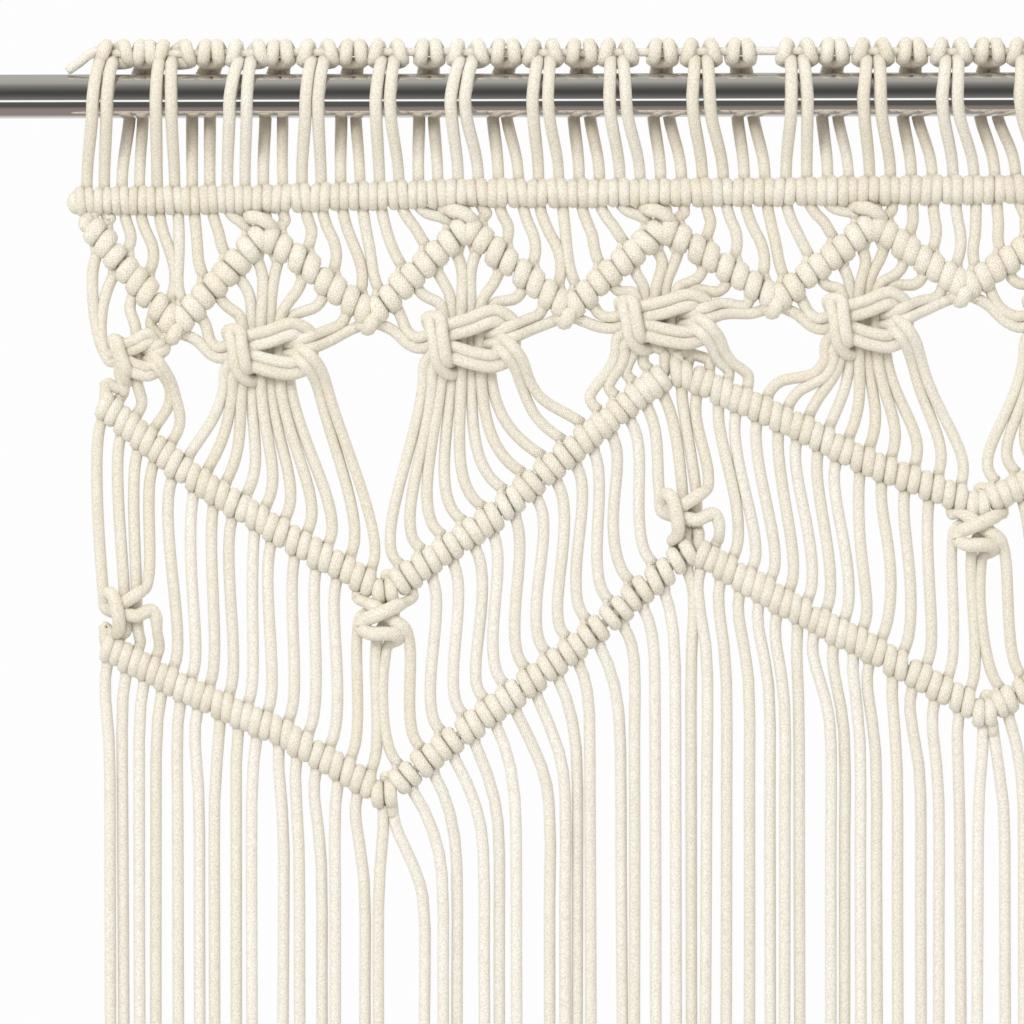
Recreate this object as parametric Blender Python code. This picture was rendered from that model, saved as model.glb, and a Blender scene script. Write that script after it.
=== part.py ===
"""Macrame curtain of cotton cord, hung on a round steel rod.

One hundred and twenty cord ends hang in the XZ plane.  The origin is on the rod's axis at
the middle of its length, +Z is up and the curtain's face looks along -Y.  From the top
down: a row of mounting knots that sits on the rod, pairs of cords that pass in front of
the rod and behind it by turns, a straight hitched bar, a small hitched zigzag, a row of
large square knots, an upper and a lower large hitched zigzag with free cords and small
square knots between them, and a long fringe.

Widths are measured along X from the left-hand cord ("across"), heights as a drop below
the rod's axis.  All the sizes below are in millimetres; the meshes are in metres.
"""

from bisect import bisect_right
from collections import namedtuple
from math import cos, hypot, pi, sin

import bmesh
import bpy
from mathutils import Vector

MM = 0.001
GAP = 0.3

# ------------------------------------------------------------------ driving sizes
ROD_RADIUS = 8.0
ROD_LENGTH = 1000.0
ROD_SIDES = 40

CORDS = 120
CORD = 4.2
LAST_CORD = CORDS - 1
KNOT_SPAN = 10
CURTAIN_WIDTH = 863.0
CURTAIN_DROP = 2000.0
HEM_WANDER = 6.0

BAR_HALF = 5.2
SMALL_ZIGZAG_HALF = 4.4
LARGE_ZIGZAG_HALF = 4.9
EDGE_DEPTH = CORD / 2

HEADER_BOTTOM = ROD_RADIUS + GAP
HEADER_TOP = 21.4
HEADER_DEPTH = 6.0
HEADER_CORD = 2.4
MOUNT_KNOT_HALF = 7.6
MOUNT_KNOT_ROUNDING = 2.4
MOUNT_KNOT_WAIST = 0.62
BARE_CORD = 1.6

# The header cord's loose ends: how far out from the last knot, how high and how thick.
TailPoint = namedtuple("TailPoint", "out rise")
TAIL = [TailPoint(0.8, 16.6), TailPoint(8.2, 11.8)]
TAIL_RADIUS = 2.2
TAIL_SIDES = 6

# The folded cords pass the rod: drop, nearest and farthest side from the rod's axis.
LoopStep = namedtuple("LoopStep", "drop near far half_width lean")
LOOP = [
    LoopStep(0.0, 9.8, 14.0, 4.7, 0.9),
    LoopStep(GAP - HEADER_BOTTOM, 4.8, 9.2, 4.5, 1.0),
]

BALL_HALF_LENGTH = 2.6
BALL_DEPTH = 4.3
BALL_RADIUS = 4.5

# Where the knotted rows bend.  A bend lies between two cords, hence the halves.
Bends = namedtuple(
    "Bends",
    "cord bar_across bar_drop small_across small_drop "
    "upper_across upper_drop lower_across lower_drop",
)
LEFT_HALF_BENDS = [
    Bends(-0.5, -3.2, 38.0, 2.0, 50.8, 5.0, 110.5, 4.5, 199.0),
    Bends(4.5, 28.8, 37.8, 32.7, 83.5, 35.5, 136.5, 36.5, 216.0),
    Bends(9.5, 60.8, 37.5, 65.0, 50.0, 70.5, 158.5, 71.0, 231.5),
    Bends(14.5, 96.0, 36.5, 104.0, 80.0, 108.5, 180.5, 108.0, 254.0),
    Bends(19.5, 131.4, 35.5, 138.0, 47.8, 146.5, 154.5, 145.5, 225.0),
    Bends(24.5, 168.0, 35.5, 175.5, 78.0, 182.5, 124.0, 181.5, 198.0),
    Bends(29.5, 205.0, 35.5, 210.0, 47.8, 213.0, 99.5, 220.5, 164.5),
    Bends(34.5, 243.0, 35.2, 251.0, 74.5, 247.5, 115.0, 254.0, 185.0),
    Bends(39.5, 281.0, 34.8, 286.5, 47.0, 283.5, 133.5, 287.0, 202.5),
    Bends(44.5, 319.0, 34.6, 319.5, 70.5, 324.5, 149.5, 326.5, 225.0),
    Bends(49.5, 357.0, 34.5, 357.0, 46.8, 362.0, 133.0, 363.0, 204.0),
    Bends(54.5, 394.0, 34.5, 394.0, 71.0, 397.5, 114.5, 398.0, 184.0),
    Bends(59.5, 431.5, 34.5, 431.5, 46.8, 431.5, 98.5, 431.5, 163.0),
]

# How far the cords lean, from the bar up to the rod.
Lean = namedtuple("Lean", "cord shift")
LEFT_HALF_LEAN = [
    Lean(0.0, 2.6),
    Lean(10.0, 1.0),
    Lean(22.0, -3.0),
    Lean(32.5, -4.0),
    Lean(34.5, -0.3),
    Lean(47.0, -4.5),
    Lean(59.5, 0.0),
]

# The large square knots of the left half, named by the cord at their middle.
LargeKnot = namedtuple("LargeKnot", "cord reach across drop width height")
LEFT_HALF_LARGE_KNOTS = [
    LargeKnot(2.0, 2.2, 18.5, 94.5, 20.0, 14.0),
    LargeKnot(9.5, 4.5, 66.0, 92.5, 36.0, 20.0),
    LargeKnot(19.5, 4.5, 139.0, 89.0, 37.0, 23.0),
    LargeKnot(29.5, 4.5, 209.5, 82.0, 38.0, 19.0),
    LargeKnot(39.5, 4.5, 283.5, 82.5, 34.0, 22.0),
    LargeKnot(49.5, 4.5, 357.0, 82.0, 36.0, 21.0),
    LargeKnot(59.5, 4.5, 431.5, 81.5, 36.0, 18.0),
]
LARGE_KNOT_DEPTH = 7.5
SHEET_DEPTH = CORD / 2
SKIRT_STEPS = ((0.18, 0.35), (0.5, 0.8))

# The small square knots of the left half: four cords each, between the large zigzags.
SmallKnot = namedtuple("SmallKnot", "first across top bottom width")
LEFT_HALF_SMALL_KNOTS = [
    SmallKnot(0, 16.0, 178.0, 192.0, 18.0),
    SmallKnot(13, 107.5, 187.2, 201.0, 20.0),
    SmallKnot(28, 219.5, 144.0, 157.0, 20.0),
    SmallKnot(43, 324.0, 155.8, 169.0, 20.0),
    SmallKnot(58, 431.5, 142.5, 155.5, 20.0),
]
SMALL_KNOT_CORDS = 4
SMALL_KNOT_DEPTH = 6.0
LEG_WIDTH = 4.0

Finish = namedtuple("Finish", "colour roughness metallic")
COTTON = Finish((0.82, 0.77, 0.68), 0.9, 0.0)
STEEL = Finish((0.62, 0.60, 0.58), 0.18, 1.0)

Ring = namedtuple("Ring", "left right front back left_drop right_drop")
Tooth = namedtuple("Tooth", "left right rings")


# ------------------------------------------------------------------ small helpers
def mix(start, end, share):
    """The value a share of the way from start to end."""
    return start + (end - start) * share


def along(points, value):
    """Reads a list of (position, height) pairs at a position, straight between them."""
    places = [point[0] for point in points]
    index = min(max(bisect_right(places, value) - 1, 0), len(points) - 2)
    (start, low), (end, high) = points[index], points[index + 1]
    return mix(low, high, (value - start) / (end - start))


def place(across, depth, drop):
    """A point in metres from millimetres across, towards the back and down."""
    return ((across - CURTAIN_WIDTH / 2) * MM, depth * MM, -drop * MM)


def both_halves(rows, flip):
    """A left-half table with its mirror image after it; the last row is the middle one."""
    return rows + [flip(row) for row in reversed(rows[:-1])]


def make_material(name, finish):
    """A plain material in the finish's colour, roughness and metallic value."""
    material = bpy.data.materials.new(name)
    material.use_nodes = True
    shader = material.node_tree.nodes["Principled BSDF"]
    shader.inputs["Base Color"].default_value = (*finish.colour, 1.0)
    shader.inputs["Roughness"].default_value = finish.roughness
    shader.inputs["Metallic"].default_value = finish.metallic
    return material


def add_object(name, shape, finish, across=CURTAIN_WIDTH / 2, drop=0.0):
    """Turns a bmesh into a named object whose origin lies at a place on the curtain."""
    origin = Vector(place(across, 0.0, drop))
    bmesh.ops.recalc_face_normals(shape, faces=shape.faces)
    bmesh.ops.translate(shape, verts=shape.verts, vec=-origin)
    mesh = bpy.data.meshes.new(name)
    shape.to_mesh(mesh)
    shape.free()
    mesh.materials.append(make_material(name, finish))
    item = bpy.data.objects.new(name, mesh)
    item.location = origin
    item.parent = bpy.data.objects["macrame_curtain"]
    bpy.context.scene.collection.objects.link(item)
    return item


# ------------------------------------------------------------------ knotted rows
class Row:
    """A knotted row: a centre line that bends, and a band of constant thickness on it."""

    def __init__(self, cords, bends, half):
        self.cords = cords
        self.bends = bends
        self.half = half
        slopes = [
            (bends[i + 1][1] - bends[i][1]) / (bends[i + 1][0] - bends[i][0])
            for i in range(len(bends) - 1)
        ]
        before = [slopes[0]] + slopes
        after = slopes + [slopes[-1]]
        self.upright = [half * (hypot(1, b) + hypot(1, a)) / 2 for b, a in zip(before, after)]

    def across(self, cord):
        """Where a cord crosses the row."""
        return along([(c, b[0]) for c, b in zip(self.cords, self.bends)], cord)

    def edge(self, side):
        """The upper (-1) or lower (+1) edge of the band, as (across, drop) pairs."""
        return [(b[0], b[1] + side * u) for b, u in zip(self.bends, self.upright)]

    def edge_drop(self, side, across):
        """The drop of an edge of the band at a place across."""
        return along(self.edge(side), across)


def row_from_table(part, half):
    """The row whose bends stand in the table's columns for that part."""
    rows = both_halves(
        LEFT_HALF_BENDS,
        lambda row: row._replace(
            cord=LAST_CORD - row.cord,
            **{f"{part}_across": CURTAIN_WIDTH - getattr(row, f"{part}_across")},
        ),
    )
    bends = [(getattr(row, f"{part}_across"), getattr(row, f"{part}_drop")) for row in rows]
    return Row([row.cord for row in rows], bends, half)


def edge_vertices(shape, edge, depth, teeth):
    """Front and back vertices along an edge, at its bends and at the corners of its teeth."""
    places = sorted({point[0] for point in edge} | {x for t in teeth for x in (t.left, t.right)})
    return [
        (
            x,
            shape.verts.new(place(x, -depth, along(edge, x))),
            shape.verts.new(place(x, depth, along(edge, x))),
        )
        for x in places
    ]


def fan_between(shape, middle, edge, side):
    """Fills the strip between the middle line's vertices and an edge's vertices."""
    for left, right in zip(middle, middle[1:]):
        stretch = [v for v in edge if left[0] <= v[0] <= right[0]]
        turn = len(stretch) // 2
        for index, (start, end) in enumerate(zip(stretch, stretch[1:])):
            shape.faces.new([(left if index < turn else right)[side], start[side], end[side]])
        shape.faces.new([left[side], right[side], stretch[turn][side]])


def grow_tooth(shape, root, rings):
    """Grows one tooth out of the four vertices of its root and closes its end."""
    corners = root
    for ring in rings:
        following = [
            shape.verts.new(place(ring.left, ring.front, ring.left_drop)),
            shape.verts.new(place(ring.right, ring.front, ring.right_drop)),
            shape.verts.new(place(ring.right, ring.back, ring.right_drop)),
            shape.verts.new(place(ring.left, ring.back, ring.left_drop)),
        ]
        for index in range(4):
            beside = (index + 1) % 4
            shape.faces.new([corners[index], corners[beside], following[beside], following[index]])
        corners = following
    shape.faces.new(corners)


def knotted_band(name, row, depth, up=(), down=()):
    """A band along a row, thickest on its centre line, with teeth on one edge or on both."""
    shape = bmesh.new()
    middle = [
        (
            bend[0],
            shape.verts.new(place(bend[0], -depth, bend[1])),
            shape.verts.new(place(bend[0], depth, bend[1])),
        )
        for bend in row.bends
    ]
    for side, teeth in ((-1, up), (1, down)):
        edge = edge_vertices(shape, row.edge(side), EDGE_DEPTH, teeth)
        for face in (1, 2):
            fan_between(shape, middle, edge, face)
        rooted = {tooth.left: tooth for tooth in teeth}
        for left, right in zip(edge, edge[1:]):
            root = [left[1], right[1], right[2], left[2]]
            if left[0] in rooted:
                grow_tooth(shape, root, rooted[left[0]].rings)
            else:
                shape.faces.new(root)
        for end, edge_end in ((middle[0], edge[0]), (middle[-1], edge[-1])):
            shape.faces.new([end[1], end[2], edge_end[2], edge_end[1]])
    return add_object(name, shape, COTTON, *row.bends[len(row.bends) // 2])


def hanging_tooth(row, cord, target, side, width=CORD):
    """A cord from one row's edge to another row's facing edge, a gap short of it."""
    top, far = row.across(cord), target.across(cord)
    left, right = far - width / 2, far + width / 2
    ends = [target.edge_drop(-side, x) - side * GAP for x in (left, right)]
    ring = Ring(left, right, -EDGE_DEPTH, EDGE_DEPTH, *ends)
    return Tooth(top - width / 2, top + width / 2, [ring])


# ------------------------------------------------------------------ rod and header
def make_rod():
    """The round rod, with plain flat ends."""
    shape = bmesh.new()
    bmesh.ops.create_cone(
        shape,
        cap_ends=True,
        segments=ROD_SIDES,
        radius1=ROD_RADIUS * MM,
        radius2=ROD_RADIUS * MM,
        depth=ROD_LENGTH * MM,
    )
    for vertex in shape.verts:
        x, y, z = vertex.co
        vertex.co = (z, y, x)
    rod = add_object("rod", shape, STEEL)
    rod.data.shade_smooth()
    rod.data.set_sharp_from_angle(angle=pi / 6)
    return rod


def lean_at(cord):
    """How far a cord has leaned sideways where it passes the rod."""
    rows = both_halves(LEFT_HALF_LEAN, lambda row: Lean(LAST_CORD - row.cord, -row.shift))
    return along([(row.cord, row.shift) for row in rows], cord)


def mount_knots(bar):
    """Left end, right end of every mounting knot, one for each folded cord."""
    centres = [bar.across(c) + lean_at(c) for c in (2 * n + 0.5 for n in range(CORDS // 2))]
    limits = [2 * centres[0] - centres[1]] + centres + [2 * centres[-1] - centres[-2]]
    knots = []
    for before, centre, after in zip(limits, limits[1:], limits[2:]):
        left = max((before + centre) / 2, centre - MOUNT_KNOT_HALF)
        right = min((centre + after) / 2, centre + MOUNT_KNOT_HALF)
        knots.append((left, right))
    return knots


def make_header_row(bar):
    """The header cord with its mounting knots, as a bar with a bump for each knot."""
    middle = (HEADER_BOTTOM + HEADER_TOP) / 2
    tall = (HEADER_TOP - HEADER_BOTTOM) / 2
    waist = (tall * MOUNT_KNOT_WAIST, HEADER_DEPTH * MOUNT_KNOT_WAIST)
    thin = (HEADER_CORD / 2, HEADER_CORD / 2)
    stations = []
    previous = None
    for left, right in mount_knots(bar):
        if previous is not None and left - previous > BARE_CORD:
            stations.append((previous, *waist))
            stations.append((previous + GAP, *thin))
            stations.append((left - GAP, *thin))
        stations.append((left, *waist))
        stations.append((left + MOUNT_KNOT_ROUNDING, tall, HEADER_DEPTH))
        stations.append((right - MOUNT_KNOT_ROUNDING, tall, HEADER_DEPTH))
        previous = right
    stations.append((previous, *waist))
    shape = bmesh.new()
    rings = [
        [
            shape.verts.new(place(x, -depth, -middle + half)),
            shape.verts.new(place(x, -depth, -middle - half)),
            shape.verts.new(place(x, depth, -middle - half)),
            shape.verts.new(place(x, depth, -middle + half)),
        ]
        for x, half, depth in stations
    ]
    for ring, following in zip(rings, rings[1:]):
        for index in range(4):
            beside = (index + 1) % 4
            shape.faces.new([ring[index], ring[beside], following[beside], following[index]])
    shape.faces.new(rings[0])
    shape.faces.new(rings[-1])
    return add_object("header_row", shape, COTTON, drop=-middle)


def make_header_tails(bar):
    """The loose ends of the header cord, which slant down to the rod at both sides."""
    knots = mount_knots(bar)
    turns = [2 * pi * side / TAIL_SIDES for side in range(TAIL_SIDES)]
    for name, end, away in (
        ("header_tail_left", knots[0][0], -1),
        ("header_tail_right", knots[-1][1], 1),
    ):
        shape = bmesh.new()
        start, finish = (
            [
                shape.verts.new(
                    place(
                        end + away * point.out,
                        TAIL_RADIUS * cos(turn),
                        TAIL_RADIUS * sin(turn) - point.rise,
                    )
                )
                for turn in turns
            ]
            for point in TAIL
        )
        for index in range(TAIL_SIDES):
            beside = (index + 1) % TAIL_SIDES
            shape.faces.new([start[index], start[beside], finish[beside], finish[index]])
        shape.faces.new(start)
        shape.faces.new(finish)
        add_object(name, shape, COTTON, end, -TAIL[0].rise)


# ------------------------------------------------------------------ rows of the curtain
def loop_tooth(bar, pair):
    """Two cords of one fold, from the bar up past the rod to the header.

    Even pairs pass in front of the rod and odd ones behind it.
    """
    cord = 2 * pair + 0.5
    side = -1 if pair % 2 == 0 else 1
    root_half = (bar.across(cord + 0.5) - bar.across(cord - 0.5)) / 2 + CORD / 2 - GAP
    root = bar.across(cord)
    high = root + lean_at(cord)
    rings = []
    for step in LOOP:
        left = mix(root, high, step.lean) - step.half_width
        right = left + 2 * step.half_width
        front, back = sorted((side * step.near, side * step.far))
        rings.append(Ring(left, right, front, back, step.drop, step.drop))
    return Tooth(root - root_half, root + root_half, rings)


def make_hitch_bar(bar):
    """The straight hitched bar with its pairs of cords that go up past the rod."""
    up = [loop_tooth(bar, pair) for pair in range(CORDS // 2)]
    return knotted_band("hitch_bar", bar, BAR_HALF, up=up)


def make_bar_ends(bar):
    """The ball knot on each end of the bar's filler cord."""
    for name, end, away in (
        ("bar_ball_left", bar.bends[0], -1),
        ("bar_ball_right", bar.bends[-1], 1),
    ):
        shape = bmesh.new()
        bmesh.ops.create_uvsphere(shape, u_segments=8, v_segments=6, radius=1.0)
        for vertex in shape.verts:
            x, y, z = vertex.co
            vertex.co = place(
                end[0] + away * (GAP + BALL_HALF_LENGTH) + BALL_HALF_LENGTH * x,
                BALL_DEPTH * y,
                end[1] - BALL_RADIUS * z,
            )
        add_object(name, shape, COTTON, *end)


def make_small_zigzag(small, bar):
    """The small hitched zigzag, with pairs of cords that hang from the bar."""
    up = []
    for arm in range(CORDS // 5):
        first = 5 * arm + (0 if arm % 2 else 1)
        for cord in (first, first + 2):
            left = small.across(cord) - CORD / 2
            right = small.across(cord + 1) + CORD / 2
            top = [bar.across(cord) - CORD / 2, bar.across(cord + 1) + CORD / 2]
            ends = [bar.edge_drop(1, x) + GAP for x in top]
            ring = Ring(top[0], top[1], -EDGE_DEPTH, EDGE_DEPTH, *ends)
            up.append(Tooth(left, right, [ring]))
    return knotted_band("small_zigzag", small, SMALL_ZIGZAG_HALF, up=up)


def make_large_knots(small, upper):
    """Each large square knot with the cords that fan into it and spread out below it."""
    knots = both_halves(
        LEFT_HALF_LARGE_KNOTS,
        lambda row: row._replace(cord=LAST_CORD - row.cord, across=CURTAIN_WIDTH - row.across),
    )
    for number, knot in enumerate(knots, start=1):
        shape = bmesh.new()
        columns = []
        for share in (-1.0, 0.0, 1.0):
            cord = knot.cord + share * knot.reach
            high = small.across(cord)
            low = upper.across(cord)
            middle = knot.across + share * knot.width / 2
            shoulder = mix(-0.5, -0.1, abs(share)) * knot.height
            foot = knot.drop + knot.height / 2
            floor = upper.edge_drop(-1, low) - GAP
            steps = [
                (high, SHEET_DEPTH, small.edge_drop(1, high) + GAP),
                (middle, LARGE_KNOT_DEPTH, knot.drop + shoulder),
                (middle, LARGE_KNOT_DEPTH, foot),
            ]
            for fall, spread in SKIRT_STEPS:
                steps.append((mix(middle, low, spread), SHEET_DEPTH, mix(foot, floor, fall)))
            steps.append((low, SHEET_DEPTH, floor))
            columns.append(
                [
                    (shape.verts.new(place(x, -y, z)), shape.verts.new(place(x, y, z)))
                    for x, y, z in steps
                ]
            )
        levels = len(columns[0])
        for left, right in zip(columns, columns[1:]):
            for level in range(levels - 1):
                for face in (0, 1):
                    shape.faces.new(
                        [
                            left[level][face],
                            right[level][face],
                            right[level + 1][face],
                            left[level + 1][face],
                        ]
                    )
            for level in (0, levels - 1):
                shape.faces.new([*left[level], *reversed(right[level])])
        for column in (columns[0], columns[-1]):
            for level in range(levels - 1):
                shape.faces.new([*column[level], *reversed(column[level + 1])])
        add_object(f"large_knot_{number:02d}", shape, COTTON, knot.across, knot.drop)


def small_knots():
    """All the small square knots, from left to right."""
    return both_halves(
        LEFT_HALF_SMALL_KNOTS,
        lambda row: row._replace(
            first=LAST_CORD - row.first - SMALL_KNOT_CORDS + 1, across=CURTAIN_WIDTH - row.across
        ),
    )


def make_small_knots(upper, lower):
    """Each small square knot, with the four cords that run through it."""
    for number, knot in enumerate(small_knots(), start=1):
        half = (knot.bottom - knot.top) / 2
        centre = (knot.top + knot.bottom) / 2
        ends = [knot.across - knot.width / 2, knot.across + knot.width / 2]
        body = Row(
            [knot.first - 0.5, knot.first + SMALL_KNOT_CORDS - 0.5],
            [(end, centre) for end in ends],
            half,
        )
        pitch = (knot.width - LEG_WIDTH - 2 * GAP) / (SMALL_KNOT_CORDS - 1)
        legs = {-1: [], 1: []}
        for side, target in ((-1, upper), (1, lower)):
            for index in range(SMALL_KNOT_CORDS):
                root = knot.across + (index - (SMALL_KNOT_CORDS - 1) / 2) * pitch
                far = target.across(knot.first + index)
                left, right = far - LEG_WIDTH / 2, far + LEG_WIDTH / 2
                drops = [target.edge_drop(-side, x) - side * GAP for x in (left, right)]
                room = min(side * (drop - (centre + side * half)) for drop in drops)
                if room > CORD / 2:
                    ring = Ring(left, right, -EDGE_DEPTH, EDGE_DEPTH, *drops)
                    legs[side].append(
                        Tooth(root - LEG_WIDTH / 2, root + LEG_WIDTH / 2, [ring])
                    )
        knotted_band(
            f"small_knot_{number}", body, SMALL_KNOT_DEPTH, up=legs[-1], down=legs[1]
        )


def make_upper_zigzag(upper, lower):
    """The upper large zigzag with the free cords that hang from it to the lower one."""
    taken = {k.first + n for k in small_knots() for n in range(SMALL_KNOT_CORDS)}
    down = [hanging_tooth(upper, c, lower, 1) for c in range(CORDS) if c not in taken]
    return knotted_band("upper_zigzag", upper, LARGE_ZIGZAG_HALF, down=down)


def fringe_tooth(lower, cord):
    """One cord of the fringe, cut a little unevenly at its foot."""
    top = lower.across(cord)
    foot = top + 1.2 * sin(1.7 * cord)
    hem = CURTAIN_DROP - HEM_WANDER / 2 * (1 + sin(2.3 * cord))
    ring = Ring(foot - CORD / 2, foot + CORD / 2, -EDGE_DEPTH, EDGE_DEPTH, hem, hem)
    return Tooth(top - CORD / 2, top + CORD / 2, [ring])


def make_lower_zigzag(lower):
    """The lower large zigzag with the fringe that hangs from it."""
    down = [fringe_tooth(lower, cord) for cord in range(CORDS)]
    return knotted_band("lower_zigzag_fringe", lower, LARGE_ZIGZAG_HALF, down=down)


def main():
    """Builds the rod and the curtain from the top down."""
    for item in list(bpy.data.objects):
        bpy.data.objects.remove(item)
    frame = bpy.data.objects.new("macrame_curtain", None)
    bpy.context.scene.collection.objects.link(frame)
    bar = row_from_table("bar", BAR_HALF)
    small = row_from_table("small", SMALL_ZIGZAG_HALF)
    upper = row_from_table("upper", LARGE_ZIGZAG_HALF)
    lower = row_from_table("lower", LARGE_ZIGZAG_HALF)
    make_rod()
    make_header_row(bar)
    make_header_tails(bar)
    make_hitch_bar(bar)
    make_bar_ends(bar)
    make_small_zigzag(small, bar)
    make_large_knots(small, upper)
    make_upper_zigzag(upper, lower)
    make_small_knots(upper, lower)
    make_lower_zigzag(lower)


main()
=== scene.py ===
"""Macrame curtain of braided cotton cord, hung on a polished steel rod.

Every knot is laid out as cord: a line of points with a section, turned into a tube.  Sizes
are in millimetres until a mesh is made.  Widths run across from the left-hand cord, heights
are drops below the rod's axis, and depths run from the face (minus) to the back (plus).
"""

import logging
import math
from dataclasses import dataclass, field, replace
from enum import Enum
from typing import Any, ClassVar, Iterable, NamedTuple, Optional, Sequence, Union

import bpy
import numpy as np
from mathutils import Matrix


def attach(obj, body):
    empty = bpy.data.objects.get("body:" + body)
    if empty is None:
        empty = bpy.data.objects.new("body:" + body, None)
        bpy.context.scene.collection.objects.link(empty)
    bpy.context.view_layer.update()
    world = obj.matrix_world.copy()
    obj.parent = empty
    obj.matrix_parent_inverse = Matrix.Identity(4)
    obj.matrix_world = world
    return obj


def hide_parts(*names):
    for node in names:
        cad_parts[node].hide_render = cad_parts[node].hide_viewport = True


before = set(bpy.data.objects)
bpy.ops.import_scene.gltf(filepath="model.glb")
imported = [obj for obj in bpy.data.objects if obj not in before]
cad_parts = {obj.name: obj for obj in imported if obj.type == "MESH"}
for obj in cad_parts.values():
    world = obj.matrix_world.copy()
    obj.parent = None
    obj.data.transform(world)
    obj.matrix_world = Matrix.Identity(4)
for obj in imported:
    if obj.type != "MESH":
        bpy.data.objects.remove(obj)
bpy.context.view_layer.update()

LOG = logging.getLogger("macrame_curtain")

Triple = tuple[float, float, float]
Measure = Union[float, np.ndarray]
Piece = bpy.types.Object
Material = bpy.types.Material
Socket = bpy.types.NodeSocket
Value = Union[float, tuple, Socket]

MM = 0.001
TINY = 1e-9
TURN = 2 * math.pi
CORDS = 120
LAST_CORD = CORDS - 1
CURTAIN_WIDTH = 863.0
CURTAIN_DROP = 2000.0
CORD_RADIUS = 2.1
CARRIER_RADIUS = 1.7
OVERLAP = 1.2

UP = np.array((0.0, 0.0, 1.0))
DOWN = -UP
FACE = np.array((0.0, -1.0, 0.0))
RIGHT = np.array((1.0, 0.0, 0.0))
WHITE = (1.0, 1.0, 1.0)


class Pass(Enum):
    """Which side of the rod a folded cord passes."""

    FRONT = 1
    BACK = -1


class Fall(Enum):
    """Which way a zigzag's arm falls from its peak."""

    RIGHTWARD = 1
    LEFTWARD = -1


class Row(Enum):
    """The knotted rows whose bends are in the table."""

    BAR = "bar"
    SMALL = "small"
    UPPER = "upper"
    LOWER = "lower"


# -------------------- tables
class Bends(NamedTuple):
    """Where the knotted rows bend, at one cord: each row's place across and its drop."""

    cord: float
    bar_across: float
    bar_drop: float
    small_across: float
    small_drop: float
    upper_across: float
    upper_drop: float
    lower_across: float
    lower_drop: float

    def mirrored(self) -> "Bends":
        """The same bends in the other half of the curtain.

        Returns:
            The mirror image.
        """
        across = (size for size in self._fields if size.endswith("across"))
        places = {size: CURTAIN_WIDTH - getattr(self, size) for size in across}
        return self._replace(cord=LAST_CORD - self.cord, **places)


LEFT_HALF_BENDS = (
    Bends(-0.5, -3.2, 38.0, 1.6, 47.0, 5.0, 110.5, 4.5, 199.0),
    Bends(4.5, 28.8, 37.8, 32.7, 83.5, 35.5, 136.5, 36.5, 216.0),
    Bends(9.5, 60.8, 37.5, 65.0, 50.0, 70.5, 158.5, 71.0, 231.5),
    Bends(14.5, 96.0, 36.5, 104.0, 80.0, 108.5, 180.5, 108.0, 254.0),
    Bends(19.5, 131.4, 35.5, 138.0, 47.8, 146.5, 154.5, 145.5, 225.0),
    Bends(24.5, 168.0, 35.5, 175.5, 78.0, 182.5, 124.0, 181.5, 198.0),
    Bends(29.5, 205.0, 35.5, 210.0, 47.8, 213.0, 99.5, 220.5, 164.5),
    Bends(34.5, 243.0, 35.2, 251.0, 74.5, 247.5, 115.0, 254.0, 185.0),
    Bends(39.5, 281.0, 34.8, 286.5, 47.0, 283.5, 133.5, 287.0, 202.5),
    Bends(44.5, 319.0, 34.6, 319.5, 70.5, 324.5, 149.5, 326.5, 225.0),
    Bends(49.5, 357.0, 34.5, 357.0, 46.8, 362.0, 133.0, 363.0, 204.0),
    Bends(54.5, 394.0, 34.5, 394.0, 71.0, 397.5, 114.5, 398.0, 184.0),
    Bends(59.5, 431.5, 34.5, 431.5, 46.8, 431.5, 98.5, 431.5, 163.0),
)


class LargeKnot(NamedTuple):
    """A large square knot, named by the cord at its middle."""

    cord: float
    across: float
    drop: float
    width: float
    height: float

    @property
    def whole(self) -> bool:
        """Whether it is a whole knot, of ten cords, and not a half one at an edge."""
        return self.cord % 1 == 0.5

    def mirrored(self) -> "LargeKnot":
        """The same knot in the other half of the curtain."""
        return self._replace(cord=LAST_CORD - self.cord, across=CURTAIN_WIDTH - self.across)


LEFT_HALF_LARGE_KNOTS = (
    LargeKnot(2.0, 18.5, 94.5, 21.0, 17.0),
    LargeKnot(9.5, 66.0, 92.5, 36.0, 20.0),
    LargeKnot(19.5, 139.0, 89.0, 37.0, 23.0),
    LargeKnot(29.5, 209.5, 82.0, 38.0, 19.0),
    LargeKnot(39.5, 283.5, 82.5, 34.0, 22.0),
    LargeKnot(49.5, 357.0, 82.0, 36.0, 21.0),
    LargeKnot(59.5, 431.5, 81.5, 36.0, 18.0),
)


class SmallKnot(NamedTuple):
    """A small square knot, named by the first of its four cords."""

    first: int
    across: float
    top: float
    bottom: float
    width: float

    @property
    def under_valley(self) -> bool:
        """Whether it hangs under a valley of the upper zigzag, not under a peak."""
        return self.first % 30 == 13

    def mirrored(self) -> "SmallKnot":
        """The same knot in the other half of the curtain."""
        return self._replace(first=LAST_CORD - self.first - 3, across=CURTAIN_WIDTH - self.across)


LEFT_HALF_SMALL_KNOTS = (
    SmallKnot(0, 16.0, 178.0, 192.0, 18.0),
    SmallKnot(13, 107.5, 187.2, 201.0, 20.0),
    SmallKnot(28, 219.5, 144.0, 157.0, 20.0),
    SmallKnot(43, 324.0, 155.8, 169.0, 20.0),
    SmallKnot(58, 431.5, 142.5, 155.5, 20.0),
)


class FoldedPair(NamedTuple):
    """A folded cord's two ends where they pass the rod, and its knot on the header.

    ``shift`` is how far the ends move sideways from the rod up to the header; ``left`` and
    ``right`` are the places of the knot's two turns from the middle of the ends there.
    """

    across: float
    spread: float
    shift: float
    left: float
    right: float


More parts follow.
